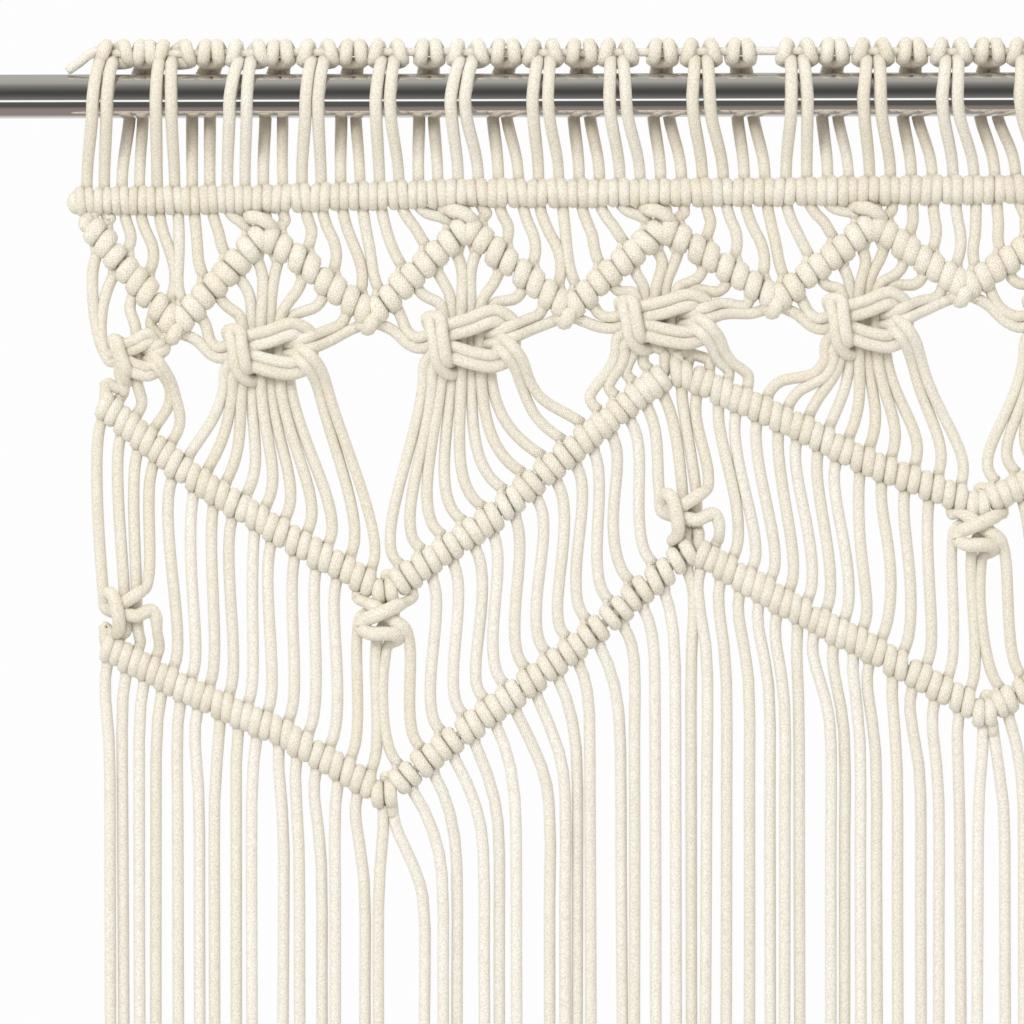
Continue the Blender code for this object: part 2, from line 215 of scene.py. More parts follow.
LEFT_PAIRS = tuple(
    FoldedPair(*sizes)
    for sizes in (
        (5.8, 5.1, 1.9, -0.9, 7.4), (18.4, 4.7, 3.4, -2.0, 2.1), (28.9, 5.5, 0.4, -1.7, 8.1),
        (41.8, 6.5, 4.1, -2.5, 2.6), (56.0, 6.2, 2.0, -3.9, 6.0), (68.5, 6.2, 2.4, -2.6, 2.6),
        (82.7, 4.4, 1.8, -4.3, 5.0), (95.6, 5.1, 2.0, -2.6, 2.8), (108.4, 5.1, 1.6, -4.4, 4.6),
        (124.0, 5.1, 1.2, -2.7, 2.7), (135.6, 5.1, 2.8, -3.7, 5.5), (150.4, 4.8, 2.7, -3.0, 3.0),
        (165.5, 5.6, 1.3, -4.7, 4.1), (180.4, 5.8, 0.3, -3.2, 3.3), (193.6, 6.0, -0.2, -4.0, 4.8),
        (209.3, 5.5, 0.6, -2.7, 2.9), (223.8, 6.2, 0.2, -4.5, 4.6), (240.0, 5.6, -1.4, -2.8, 2.6),
        (259.5, 5.8, -0.6, -4.6, 4.6), (270.9, 5.5, 1.6, -2.6, 2.6), (285.8, 6.2, 0.6, -4.5, 4.8),
        (300.0, 5.1, 0.8, -2.7, 2.7), (314.0, 5.5, 1.1, -4.6, 4.4), (328.5, 6.2, 0.6, -2.9, 2.9),
        (342.2, 5.5, 0.4, -4.5, 4.5),
    )
)  # fmt: skip

# Where the fringe cords hang, across, a little below the lower zigzag.
LEFT_FRINGE = (
    8.4, 12.9, 19.1, 25.1, 33.1, 40.8, 46.4, 54.3, 59.9, 71.6, 77.2, 85.3, 90.3, 101.0,
    106.0, 122.6, 129.4, 134.6, 144.3, 149.9, 156.1, 168.3, 174.0, 178.5, 183.0, 194.2,
    199.3, 206.8, 214.2, 220.0, 225.8, 232.8, 241.0, 248.5, 254.0, 259.2, 270.6, 275.8,
    281.4, 287.2, 294.8, 303.3, 309.9, 317.6, 324.2, 333.9, 340.7,
)  # fmt: skip


class KnotPath(NamedTuple):
    """One cord's way through a small square knot.

    ``start`` and ``end`` are its places above and below, counted from the left, and
    ``points`` are rows of right, up and back from the knot's middle.
    """

    start: int
    end: int
    points: tuple[Triple, ...]


UNDER_PEAK_PATHS = (
    KnotPath(
        0,
        3,
        (
            (-11.3, 8.0, 0.5), (-10.2, 2.4, 1.0), (-6.0, 0.8, 0.5), (-1.8, 0.0, -3.2),
            (3.0, -0.8, -4.2), (6.5, 0.8, -3.4), (9.3, 1.4, -2.4), (11.0, -1.5, -2.2),
            (11.3, -6.0, -1.5),
        ),
    ),
    KnotPath(1, 1, ((-2.6, 9.0, 0.9), (-2.6, 0.0, 1.2), (-2.2, -8.0, 0.9))),
    KnotPath(2, 2, ((2.6, 9.0, 0.9), (2.4, 0.0, 1.2), (3.4, -8.0, 0.9))),
    KnotPath(
        3,
        0,
        (
            (6.6, 10.8, -2.4), (3.8, 8.8, -4.6), (-0.5, 6.0, -4.6), (-4.0, 3.8, -2.5),
            (-7.5, 3.2, 0.2), (-10.0, 5.5, 0.5), (-9.3, 8.8, -2.2), (-7.2, 8.0, -5.2),
            (-5.5, 3.0, -6.6), (-4.6, -2.0, -6.4), (-4.6, -6.0, -4.2), (-6.6, -8.6, -1.0),
        ),
    ),
)  # fmt: skip
UNDER_VALLEY_PATHS = (
    KnotPath(
        0,
        3,
        (
            (-6.9, 8.0, -1.4), (-2.8, 5.4, -3.6), (1.5, 1.6, -1.6), (5.6, -1.6, -2.8),
            (9.0, -4.6, -2.6), (11.0, -8.5, -1.0),
        ),
    ),
    KnotPath(1, 0, ((-4.0, 3.6, 2.2), (-8.8, 0.0, 1.6), (-10.2, -6.0, 1.2))),
    KnotPath(2, 1, ((1.5, -2.0, 1.6), (-1.8, -9.0, 1.2))),
    KnotPath(
        3,
        2,
        (
            (9.4, 7.6, -1.2), (7.0, 6.4, -3.8), (2.8, 4.2, -5.6), (-2.7, 1.4, -5.8),
            (-7.0, -0.8, -4.0), (-8.6, -3.9, -3.0), (-5.2, -6.9, -4.6), (1.5, -7.2, -5.2),
            (5.8, -7.6, -3.0), (6.8, -9.6, 0.5), (4.4, -11.0, 2.6), (2.6, -13.0, 2.0),
        ),
    ),
)  # fmt: skip


# -------------------- helpers
def both_halves(rows: Sequence[Any]) -> list:
    """A left-half table, whose last row stands at the middle, with its mirror image after it."""
    return [*rows, *(row.mirrored() for row in reversed(rows[:-1]))]


def place(across: float, depth: float, drop: float) -> np.ndarray:
    """The frame's x, y, z in millimetres of a place on the curtain."""
    return np.array((across - CURTAIN_WIDTH / 2, depth, -drop))


def unit(vector: Sequence[float]) -> np.ndarray:
    """The vector at length one."""
    return np.asarray(vector, float) / max(float(np.linalg.norm(vector)), TINY)


def units(rows: np.ndarray) -> np.ndarray:
    """Every row at length one."""
    return rows / np.maximum(np.linalg.norm(rows, axis=1), TINY)[:, None]


def growth(values: np.ndarray, start: float, length: float, most: float) -> np.ndarray:
    """Nothing up to the start, then a straight rise over the length to the most."""
    return most * np.clip((values - start) / length, 0, 1)


def put(name: str, data: bpy.types.ID) -> Piece:
    """Makes an object of its data and links it to the scene.

    Args:
        name: the object's name.
        data: its mesh, light or camera.

    Returns:
        The object.
    """
    made = bpy.data.objects.new(name, data)
    bpy.context.scene.collection.objects.link(made)
    return made


def mesh_of(name: str, points: list, faces: list, finish: Material) -> bpy.types.Mesh:
    """Makes a mesh from points and faces.

    Args:
        name: the mesh's name.
        points: its vertices in metres.
        faces: the vertices of each face.
        finish: its material.

    Returns:
        The mesh.
    """
    mesh = bpy.data.meshes.new(name)
    mesh.from_pydata(points, [], faces)
    mesh.materials.append(finish)
    return mesh


# -------------------- cord
@dataclass(frozen=True)
class Lead:
    """Where a cord enters or leaves a knot, and the way it runs there."""

    point: np.ndarray
    heading: np.ndarray


@dataclass
class Strand:
    """One length of cord.

    Attributes:
        line: rows of x, y, z that the cord's axis follows.
        tint: its shade, 0 to 1.
        wide: half its width, for the whole cord or one value a point.
        deep: half its thickness, where that differs.
        side: the way its width points, or None to follow the bends.
        step: the longest length of tube between two rings.
        turn: the sharpest bend between two rings, in radians.
        cut: True where its ends show and are trimmed square.
        shade: how much painted shade it takes, 0 to 1, for the whole cord or one a point.
    """

    line: np.ndarray
    tint: float
    wide: Measure = CORD_RADIUS
    deep: Optional[Measure] = None
    side: Optional[np.ndarray] = None
    step: float = 6.0
    turn: float = 0.40
    cut: bool = False
    shade: Measure = 0.0

    def table(self) -> np.ndarray:
        """Rows of line, wide, deep and shade, one a point."""
        sizes = (self.wide, self.wide if self.deep is None else self.deep, self.shade)
        return np.column_stack((self.line, *(np.broadcast_to(s, len(self.line)) for s in sizes)))


def smooth(table: np.ndarray, step: float, turn: float) -> np.ndarray:
    """Rounds a table of points off and spaces it by length and bend.

    Args:
        table: rows whose first three columns are x, y, z.
        step: the longest length between two rows of the result.
        turn: the sharpest bend between two rows of the result, in radians.

    Returns:
        Rows in the same columns, along a smooth line through the points.
    """
    nearest, fewest, most, rings = 0.05, 4, 80, 3
    gaps = np.linalg.norm(np.diff(table[:, :3], axis=0), axis=1)
    table = table[np.concatenate(([True], gaps > nearest))]
    gaps = np.linalg.norm(np.diff(table[:, :3], axis=0), axis=1)
    slopes = np.diff(table, axis=0) / gaps[:, None]
    before, after = gaps[:-1, None], gaps[1:, None]
    inner = (slopes[:-1] * after + slopes[1:] * before) / (before + after)
    ways = np.vstack((slopes[:1], inner, slopes[-1:]))
    counts = np.clip(np.ceil(gaps), fewest, most).astype(int)
    index = np.repeat(np.arange(len(gaps)), counts)
    share = np.concatenate([np.arange(c) / c for c in counts])[:, None]
    reach = gaps[index][:, None]
    cube, square = share**3, share**2
    dense = (
        (2 * cube - 3 * square + 1) * table[index]
        + (cube - 2 * square + share) * reach * ways[index]
        + (3 * square - 2 * cube) * table[index + 1]
        + (cube - square) * reach * ways[index + 1]
    )
    dense = np.vstack((dense, table[-1]))
    hops = np.diff(dense[:, :3], axis=0)
    heads = units(hops)
    bends = np.arccos(np.clip(np.sum(heads[:-1] * heads[1:], axis=1), -1, 1))
    effort = np.linalg.norm(hops, axis=1) / step
    effort[1:] += bends / turn / 2
    effort[:-1] += bends / turn / 2
    worth = np.concatenate(([0.0], np.cumsum(effort)))
    targets = np.linspace(0, worth[-1], max(rings, int(math.ceil(worth[-1])) + 1))
    return np.column_stack([np.interp(targets, worth, column) for column in dense.T])


def carried_sides(centres: np.ndarray, heads: np.ndarray) -> np.ndarray:
    """Side axes that follow a line's bends without twisting.

    Args:
        centres: the line's points.
        heads: its unit headings.

    Returns:
        One unit side axis a point.
    """
    level, least = 0.8, 1e-12
    sides = np.empty_like(centres)
    guess = RIGHT if abs(heads[0][0]) < level else UP
    sides[0] = unit(guess - heads[0] * float(guess @ heads[0]))
    for row in range(1, len(centres)):
        side, head = sides[row - 1], heads[row - 1]
        hop = centres[row] - centres[row - 1]
        scale = float(hop @ hop)
        side = side - hop * (2 * float(hop @ side) / scale)
        turn = heads[row] - (head - hop * (2 * float(hop @ head) / scale))
        scale = float(turn @ turn)
        if scale > least:
            side = side - turn * (2 * float(turn @ side) / scale)
        sides[row] = unit(side - heads[row] * float(side @ heads[row]))
    return sides


def bridge(
    start: Lead,
    end: Lead,
    reach: float = 12.0,
    arrive: float = 12.0,
    sway: float = 0.0,
    bow: float = 0.0,
) -> np.ndarray:
    """Points of a free length of cord between two knots.

    Args:
        start: where the cord leaves the upper knot.
        end: where it enters the lower one.
        reach: how far it keeps its heading at the start.
        arrive: how far it keeps its heading at the end.
        sway: how far it wanders sideways on the way.
        bow: how far it bows to the back on the way.

    Returns:
        Rows of x, y, z, with a little overlap into both knots.
    """
    most_kept, fewest, gap = 0.45, 5, 5.0
    span = float(np.linalg.norm(end.point - start.point))
    leaving = start.point + start.heading * min(reach, most_kept * span)
    coming = end.point - end.heading * min(arrive, most_kept * span)
    share = np.linspace(0, 1, max(fewest, int(span / gap)))[:, None]
    rest = 1 - share
    line = (
        rest**3 * start.point
        + 3 * rest**2 * share * leaving
        + 3 * rest * share**2 * coming
        + share**3 * end.point
    )
    swell = np.sin(math.pi * share[:, 0]) ** 2
    line[:, 0] += sway * swell
    line[:, 1] += bow * swell
    return np.vstack(
        (start.point - start.heading * OVERLAP, line, end.point + end.heading * OVERLAP)
    )


class Reaches(NamedTuple):
    """How far a cord keeps its heading out of a row, into and out of a knot, into a row."""

    above: float
    into: float
    out: float
    below: float


def through_knot(
    start: Lead,
    body: np.ndarray,
    end: Lead,
    tint: float,
    radius: float,
    reaches: Reaches,
    onward: float = 1.0,
    plumb: float = 0.0,
) -> Strand:
    """Runs a cord from one row through a square knot to the next row.

    Args:
        start: where it leaves the row above.
        body: its points in the knot.
        end: where it comes into the row below.
        tint: its shade.
        radius: of the cord in the knot.
        reaches: how far it keeps its headings.
        onward: how much it turns to the row below as it leaves the knot.
        plumb: how much it turns straight down there.

    Returns:
        The strand.
    """
    into = unit(unit(body[1] - body[0]) + unit(body[0] - start.point))
    out = unit(body[-1] - body[-2]) + onward * unit(end.point - body[-1]) + plumb * DOWN
    first, last = Lead(body[0], into), Lead(body[-1], unit(out))
    coming = bridge(start, first, reaches.above, reaches.into)[:-1]
    going = bridge(last, end, reaches.out, reaches.below)[1:]
    line = np.vstack((coming, body[1:-1], going))
    radii = np.full(len(line), CORD_RADIUS)
    radii[len(coming) : -len(going)] = radius
    return Strand(line, tint, wide=radii, step=4.0, turn=0.36)


@dataclass
class CordMesh:
    """Strands gathered into one mesh of capped tubes.

    Attributes:
        name: the piece's name.
        strands: its lengths of cord.
        sides: sides of each tube.
        bevel: length of a trimmed end's bevel, in cord radii.
        tip: a trimmed end's width, as a share of the cord's.
        pad: spare bake map at both ends of a strand, half of it for the cap.
        strip: width of a strand's strip in the bake map, before it is fitted.
    """

    name: str
    strands: list[Strand] = field(default_factory=list)
    sides: int = 8
    bevel: float = 0.35
    tip: float = 0.8
    pad: float = 5.0
    strip: float = 14.0

    def add(self, *strands: Strand) -> None:
        """Takes more strands into the piece."""
        self.strands.extend(strands)

    def _rings(self, strand: Strand) -> tuple[np.ndarray, np.ndarray, np.ndarray]:
        """Rings of vertices round a strand.

        Args:
            strand: the strand.

        Returns:
            Vertices as rings x sides x 3, each ring's distance along the cord, and its shade.
        """
        table = smooth(strand.table(), strand.step, strand.turn)
        centres = table[:, :3]
        heads = units(np.gradient(centres, axis=0))
        if strand.side is None:
            sides = carried_sides(centres, heads)
        else:
            sides = units(strand.side - heads * (heads @ strand.side)[:, None])
        others = np.cross(heads, sides)
        wide, deep, shade = table[:, 3:].T
        hops = np.linalg.norm(np.diff(centres, axis=0), axis=1)
        run = np.concatenate(([0.0], np.cumsum(hops)))
        if strand.cut:
            bevel = self.bevel * CORD_RADIUS
            first, last = centres[0] - heads[0] * bevel, centres[-1] + heads[-1] * bevel
            centres = np.vstack((first, centres, last))
            sides, others, wide, deep, shade = (
                np.concatenate((rows[:1], rows, rows[-1:]))
                for rows in (sides, others, wide, deep, shade)
            )
            wide[[0, -1]] *= self.tip
            deep[[0, -1]] *= self.tip
            run = np.concatenate(([-bevel], run, [run[-1] + bevel]))
        turns = TURN * np.arange(self.sides) / self.sides
        across = np.outer(wide, np.cos(turns))[:, :, None] * sides[:, None, :]
        through = np.outer(deep, np.sin(turns))[:, :, None] * others[:, None, :]
        return centres[:, None, :] + across + through, run, shade

    def _bake_places(
        self, lengths: Sequence[float]
    ) -> tuple[list[tuple[int, float]], float, float]:
        """Packs the strands' unrolled strips side by side in a unit square.

        Args:
            lengths: how long each strip is.

        Returns:
            For each strip its column and start, then the column width and height in
            millimetres.
        """
        spare, taller = 1.02, 1.04
        needs = [length + 2 * self.pad for length in lengths]
        total = sum(needs)
        columns = max(1, int(math.sqrt(total / self.strip)))
        height = max(max(needs), total / columns * spare)
        while True:
            filled = [0.0] * columns
            spots: dict[int, tuple[int, float]] = {}
            for item in sorted(range(len(needs)), key=lambda item: -lengths[item]):
                column = min(range(columns), key=filled.__getitem__)
                if filled[column] + needs[item] > height:
                    break
                spots[item] = (column, filled[column] + self.pad)
                filled[column] += needs[item]
            if len(spots) == len(needs):
                return [spots[item] for item in range(len(needs))], 1.0 / columns, height
            height *= taller

    def _faces(
        self, shapes: Sequence[Sequence[np.ndarray]]
    ) -> tuple[np.ndarray, np.ndarray, dict[str, np.ndarray]]:
        """Lays out the tubes' walls and caps.

        Args:
            shapes: each strand's rings, distances and shades.

        Returns:
            The walls' vertices, four a row, the caps' vertices, and both maps' corners.
        """
        count = self.sides
        spots, width, height = self._bake_places([run[-1] - run[0] for _, run, _ in shapes])
        around = np.arange(count)
        beside = (around + 1) % count
        circle = TURN * (around + 0.5) / count
        margin, cap_wide, cap_tall, cap_gap = 0.04, 0.15, 1.9, 2.4
        quads, caps = [], []
        maps: dict[str, tuple[list, list]] = {"CordMap": ([], []), "OFBake": ([], [])}
        base = 0
        for (rings, run, _), (column, start) in zip(shapes, spots):
            row = base + np.arange(len(rings) - 1)[:, None] * count
            ring_pairs = (row + around, row + beside, row + count + beside, row + count + around)
            quads.append(np.stack(ring_pairs, axis=2).reshape(-1, 4))
            low, left = np.meshgrid(run[:-1], around / count, indexing="ij")
            high, right = np.meshgrid(run[1:], around / count + 1.0 / count, indexing="ij")
            corners = np.stack((left, low, right, low, right, high, left, high), axis=2)
            corners = corners.reshape(-1, 4, 2)
            maps["CordMap"][0].append(corners)
            u = (column + (margin + (1 - 2 * margin) * corners[..., 0])) * width
            v = (start + corners[..., 1] - run[0]) / height
            maps["OFBake"][0].append(np.stack((u, v), axis=2))
            foot, head = start - cap_gap, start + run[-1] - run[0] + cap_gap
            for ring, order, middle in ((0, around[::-1], foot), (len(rings) - 1, around, head)):
                caps.append(base + ring * count + order)
                u, v = 0.5 + cap_wide * np.cos(circle[order]), np.sin(circle[order])
                maps["CordMap"][1].append(np.column_stack((u, run[ring] + v)))
                baked = ((column + u) * width, (middle + cap_tall * v) / height)
                maps["OFBake"][1].append(np.column_stack(baked))
            base += len(rings) * count
        flat = {
            name: np.concatenate([np.vstack(part).reshape(-1) for part in parts])
            for name, parts in maps.items()
        }
        return np.vstack(quads), np.vstack(caps), flat

    def build(self) -> Piece:
        """Makes the piece.

        Returns:
            The object, with its cord and bake maps and each strand's tint and shade.
        """
        count = self.sides
        shapes = [self._rings(strand) for strand in self.strands]
        walls, caps, maps = self._faces(shapes)
        joined = np.concatenate((walls.reshape(-1), caps.reshape(-1)))
        cap_starts = walls.size + np.arange(len(caps)) * count
        starts = np.concatenate((np.arange(len(walls)) * 4, cap_starts))
        vertices = np.vstack([rings.reshape(-1, 3) for rings, _, _ in shapes]) * MM
        mesh = bpy.data.meshes.new(self.name)
        mesh.vertices.add(len(vertices))
        mesh.vertices.foreach_set("co", vertices.astype(np.float32).reshape(-1))
        mesh.loops.add(len(joined))
        mesh.loops.foreach_set("vertex_index", joined.astype(np.int32))
        mesh.polygons.add(len(starts))
        mesh.polygons.foreach_set("loop_start", starts.astype(np.int32))
        mesh.update(calc_edges=True)
        for name, corners in maps.items():
            layer = mesh.uv_layers.new(name=name)
            layer.data.foreach_set("uv", corners.astype(np.float32))
        tints = [
            np.full(len(rings) * count, strand.tint)
            for (rings, _, _), strand in zip(shapes, self.strands)
        ]
        shades = [np.repeat(shade, count) for _, _, shade in shapes]
        for name, values in (("tint", tints), ("shade", shades)):
            attribute = mesh.attributes.new(name, "FLOAT", "POINT")
            attribute.data.foreach_set("value", np.concatenate(values).astype(np.float32))
        mesh.shade_smooth()
        mesh.polygons.foreach_set("use_smooth", np.arange(len(starts)) < len(walls))
        mesh.validate()
        return put(self.name, mesh)


# -------------------- finishes
@dataclass
class NodeBoard:
    """A node tree, with short ways to add and join its nodes.

    Attributes:
        owner: the material or world whose tree it is.
    """

    owner: bpy.types.ID

    def __post_init__(self) -> None:
        """Opens the tree."""
        self.owner.use_nodes = True
        self.tree = self.owner.node_tree

    def node(self, kind: str, **settings: Any) -> bpy.types.Node:
        """Adds a node and sets its properties.

        Args:
            kind: the node's type without its ShaderNode prefix.
            **settings: the properties to set on it.

        Returns:
            The node.
        """
        made = self.tree.nodes.new("ShaderNode" + kind)
        for key, value in settings.items():
            setattr(made, key, value)
        return made

    def feed(self, target: Socket, value: Value) -> None:
        """Sets a socket to a number or colour, or links an output to it.

        Args:
            target: the input socket.
            value: the number, colour or output socket.
        """
        if isinstance(value, Socket):
            self.tree.links.new(value, target)
        else:
            target.default_value = value

    def shade(self, inputs: dict[str, Value]) -> Material:
        """Feeds the shader's inputs.

        Args:
            inputs: each input's name and value.

        Returns:
            The finished material.
        """
        shader = self.tree.nodes["Principled BSDF"]
        for name, value in inputs.items():
            self.feed(shader.inputs[name], value)
        return self.owner

    def math(
        self, operation: str, first: Value, second: Value = 0.0, third: Value = 0.0
    ) -> Socket:
        """Adds a Math node.

        Args:
            operation: what it does.
            first: its first value or socket.
            second: its second value or socket.
            third: its third value or socket.

        Returns:
            Its output socket.
        """
        made = self.node("Math", operation=operation)
        for target, value in zip(made.inputs, (first, second, third)):
            self.feed(target, value)
        return made.outputs[0]

    def mix(self, blend: str, share: Value, first: Value, second: Value) -> Socket:
        """Adds a colour mix.

        Args:
            blend: the way it blends.
            share: how much of the second, as a value or socket.
            first: the first colour or socket.
            second: the second colour or socket.

        Returns:
            Its colour output.
        """
        made = self.node("Mix", data_type="RGBA", blend_type=blend)
        for number, value in ((0, share), (6, first), (7, second)):
            self.feed(made.inputs[number], value)
        return made.outputs[2]

    def places(self) -> Socket:
        """The object's own coordinates."""
        return self.node("TexCoord").outputs["Object"]

    def noise(
        self, scale: float, detail: float, source: Optional[Socket] = None
    ) -> Socket:
        """Adds a noise texture.

        Args:
            scale: cells to the metre.
            detail: how many finer layers it has.
            source: a vector to read in place of the object's own coordinates.

        Returns:
            Its factor output.
        """
        made = self.node("TexNoise")
        self.feed(made.inputs["Scale"], scale)
        self.feed(made.inputs["Detail"], detail)
        self.feed(made.inputs["Vector"], self.places() if source is None else source)
        return made.outputs["Fac"]

    def ramp(
        self, value: Socket, stops: Iterable[tuple[float, Sequence[float]]]
    ) -> Socket:
        """Adds a colour ramp.

        Args:
            value: the socket it reads.
            stops: positions and colours.

        Returns:
            Its colour output.
        """
        made = self.node("ValToRGB")
        elements = made.color_ramp.elements
        for index, (position, colour) in enumerate(stops):
            if index < 2:
                stop = elements[index]
                stop.position = position
            else:
                stop = elements.new(position)
            stop.color = (*colour, 1.0)
        self.feed(made.inputs["Fac"], value)
        return made.outputs["Color"]

    def uneven(self, colour: Triple, dull: float, cells: float, detail: float) -> Socket:
        """Adds a colour with soft, darker places.

        Args:
            colour: the colour elsewhere.
            dull: its darkest places, as a share of the colour.
            cells: of the noise that lays them out, to the metre.
            detail: how many finer layers that has.

        Returns:
            Its colour output.
        """
        low, high = 0.3, 0.7
        darkest = tuple(dull * part for part in colour)
        return self.ramp(self.noise(cells, detail), ((low, darkest), (high, colour)))


class MottleAndShade(NamedTuple):
    """A fine difference of shade: a tone below ``low`` that is gone above ``high``.

    It is laid on by its ``share``, over noise of so many ``cells`` and so fine a ``detail``
    where it has no source of its own.  Laid along the plait's hollows it is painted shade.
    """

    low: float
    high: float
    tone: Triple
    share: float = 1.0
    cells: float = 0.0
    detail: float = 0.0

    def lay(
        self,
        board: NodeBoard,
        colour: Socket,
        source: Optional[Socket] = None,
    ) -> Socket:
        """Lays the tone over a colour.

        Args:
            board: the material's nodes.
            colour: the colour below.
            source: what it reads, or None for noise of its own.

        Returns:
            The new colour.
        """
        if source is None:
            source = board.noise(self.cells, self.detail)
        tones = board.ramp(source, ((self.low, self.tone), (self.high, WHITE)))
        return board.mix("MULTIPLY", self.share, colour, tones)


@dataclass(frozen=True)
class CottonFinish:
    """Natural braided cotton cord: a fine plait, soft fuzz and small shifts of shade.

    Attributes:
        name: the material's name.
        shades: the cords' colours, from the deepest to the palest.
        painted_shade_tone: the brown mixed in as painted shade, by each point's shade.
        plaits: strands round the braid, each way.
        plait_length: length of cord to one turn of a strand, over their number.
        fullness: how round the plait's strands are, less for rounder.
        relief: height of the braid, in metres.
        bump: how strongly it shows.
        fuzz: scale, detail and height of the soft fuzz, as a share of the braid's.
        patches: wide, soft differences along the cords.
        specks: small flecks in the cotton.
        painted_seam_shade: painted shade in the hollows between the plait's strands.
        gloss: the shader's settings.
    """

    name: str = "cotton_cord"
    shades: tuple[Triple, ...] = (
        (0.862, 0.822, 0.722), (0.882, 0.848, 0.762), (0.888, 0.862, 0.782),
        (0.918, 0.900, 0.845), (0.948, 0.932, 0.888),
    )  # fmt: skip
    painted_shade_tone: Triple = (0.30, 0.20, 0.12)
    plaits: float = 6.0
    plait_length: float = 2.3
    fullness: float = 0.55
    relief: float = 0.00022
    bump: float = 0.85
    fuzz: Triple = (2600.0, 2.0, 0.9)
    patches: MottleAndShade = MottleAndShade(0.25, 0.75, (0.965, 0.95, 0.925), 1.0, 90.0, 3.0)
    specks: MottleAndShade = MottleAndShade(0.36, 0.60, (0.80, 0.77, 0.71), 0.75, 1500.0, 1.0)
    painted_seam_shade: MottleAndShade = MottleAndShade(0.05, 0.55, (0.86, 0.82, 0.76), 0.8)
    gloss: tuple[tuple[str, float], ...] = (
        ("Roughness", 0.92), ("Specular IOR Level", 0.12),
        ("Sheen Weight", 0.12), ("Sheen Roughness", 0.6),
    )  # fmt: skip

    def make(self) -> Material:
        """Builds the material.

        Returns:
            The material.
        """
        board = NodeBoard(bpy.data.materials.new(self.name))
        parts = board.node("SeparateXYZ")
        board.feed(parts.inputs[0], board.node("UVMap", uv_map="CordMap").outputs[0])
        round_way = board.math("MULTIPLY", parts.outputs[0], TURN * self.plaits)
        long_way = board.math("MULTIPLY", parts.outputs[1], TURN / self.plait_length)
        leaning, crossing = (
            board.math("SINE", board.math(way, round_way, long_way)) for way in ("ADD", "SUBTRACT")
        )
        cells = board.math("ABSOLUTE", board.math("MULTIPLY", leaning, crossing))
        cells = board.math("POWER", cells, self.fullness)
        fuzz = board.math("MULTIPLY", board.noise(*self.fuzz[:2]), self.fuzz[2])
        bump = board.node("Bump")
        board.feed(bump.inputs["Strength"], self.bump)
        board.feed(bump.inputs["Distance"], self.relief)
        board.feed(bump.inputs["Height"], board.math("ADD", cells, fuzz))
        last = len(self.shades) - 1
        stops = [(index / last, shade) for index, shade in enumerate(self.shades)]
        # depth reads the shade attribute, the amount of painted shade
        tint, depth = (
            board.node("Attribute", attribute_name=name).outputs["Fac"]
            for name in ("tint", "shade")
        )
        colour = self.patches.lay(board, board.ramp(tint, stops))
        # painted shade in the plait's hollows, read from the braid's height
        colour = self.painted_seam_shade.lay(board, self.specks.lay(board, colour), cells)
        # painted shade: mixes the colour towards a brown where the shade attribute is set
        colour = board.mix("MIX", depth, colour, (*self.painted_shade_tone, 1.0))
        look = {"Base Color": colour, "Normal": bump.outputs["Normal"], **dict(self.gloss)}
        return board.shade(look)


@dataclass(frozen=True)
class SteelFinish:
    """Polished steel tube with a faint grain round it.

    Attributes:
        name: the material's name.
        colour: of the steel.
        dull: its darkest places, as a share of the colour.
        roughness: least and most.
        grain: how much finer the grain is across the rod than along it.
        streaks: cells and detail of the grain's noise.
        blotches: the same for the darker places.
    """

    name: str = "rod_steel"
    colour: Triple = (0.74, 0.73, 0.72)
    dull: float = 0.94
    roughness: tuple[float, float] = (0.03, 0.06)
    grain: float = 60.0
    streaks: tuple[float, float] = (30.0, 4.0)
    blotches: tuple[float, float] = (14.0, 5.0)

    def make(self) -> Material:
        """Builds the material.

        Returns:
            The material.
        """
        board = NodeBoard(bpy.data.materials.new(self.name))
        stretch = board.node("Mapping")
        board.feed(stretch.inputs["Scale"], (1.0, self.grain, self.grain))
        board.feed(stretch.inputs["Vector"], board.places())
        gloss = board.node("MapRange")
        board.feed(gloss.inputs["Value"], board.noise(*self.streaks, stretch.outputs[0]))
        for name, value in zip(("To Min", "To Max"), self.roughness):
            board.feed(gloss.inputs[name], value)
        colour = board.uneven(self.colour, self.dull, *self.blotches)
        return board.shade({"Base Color": colour, "Roughness": gloss.outputs[0], "Metallic": 1.0})


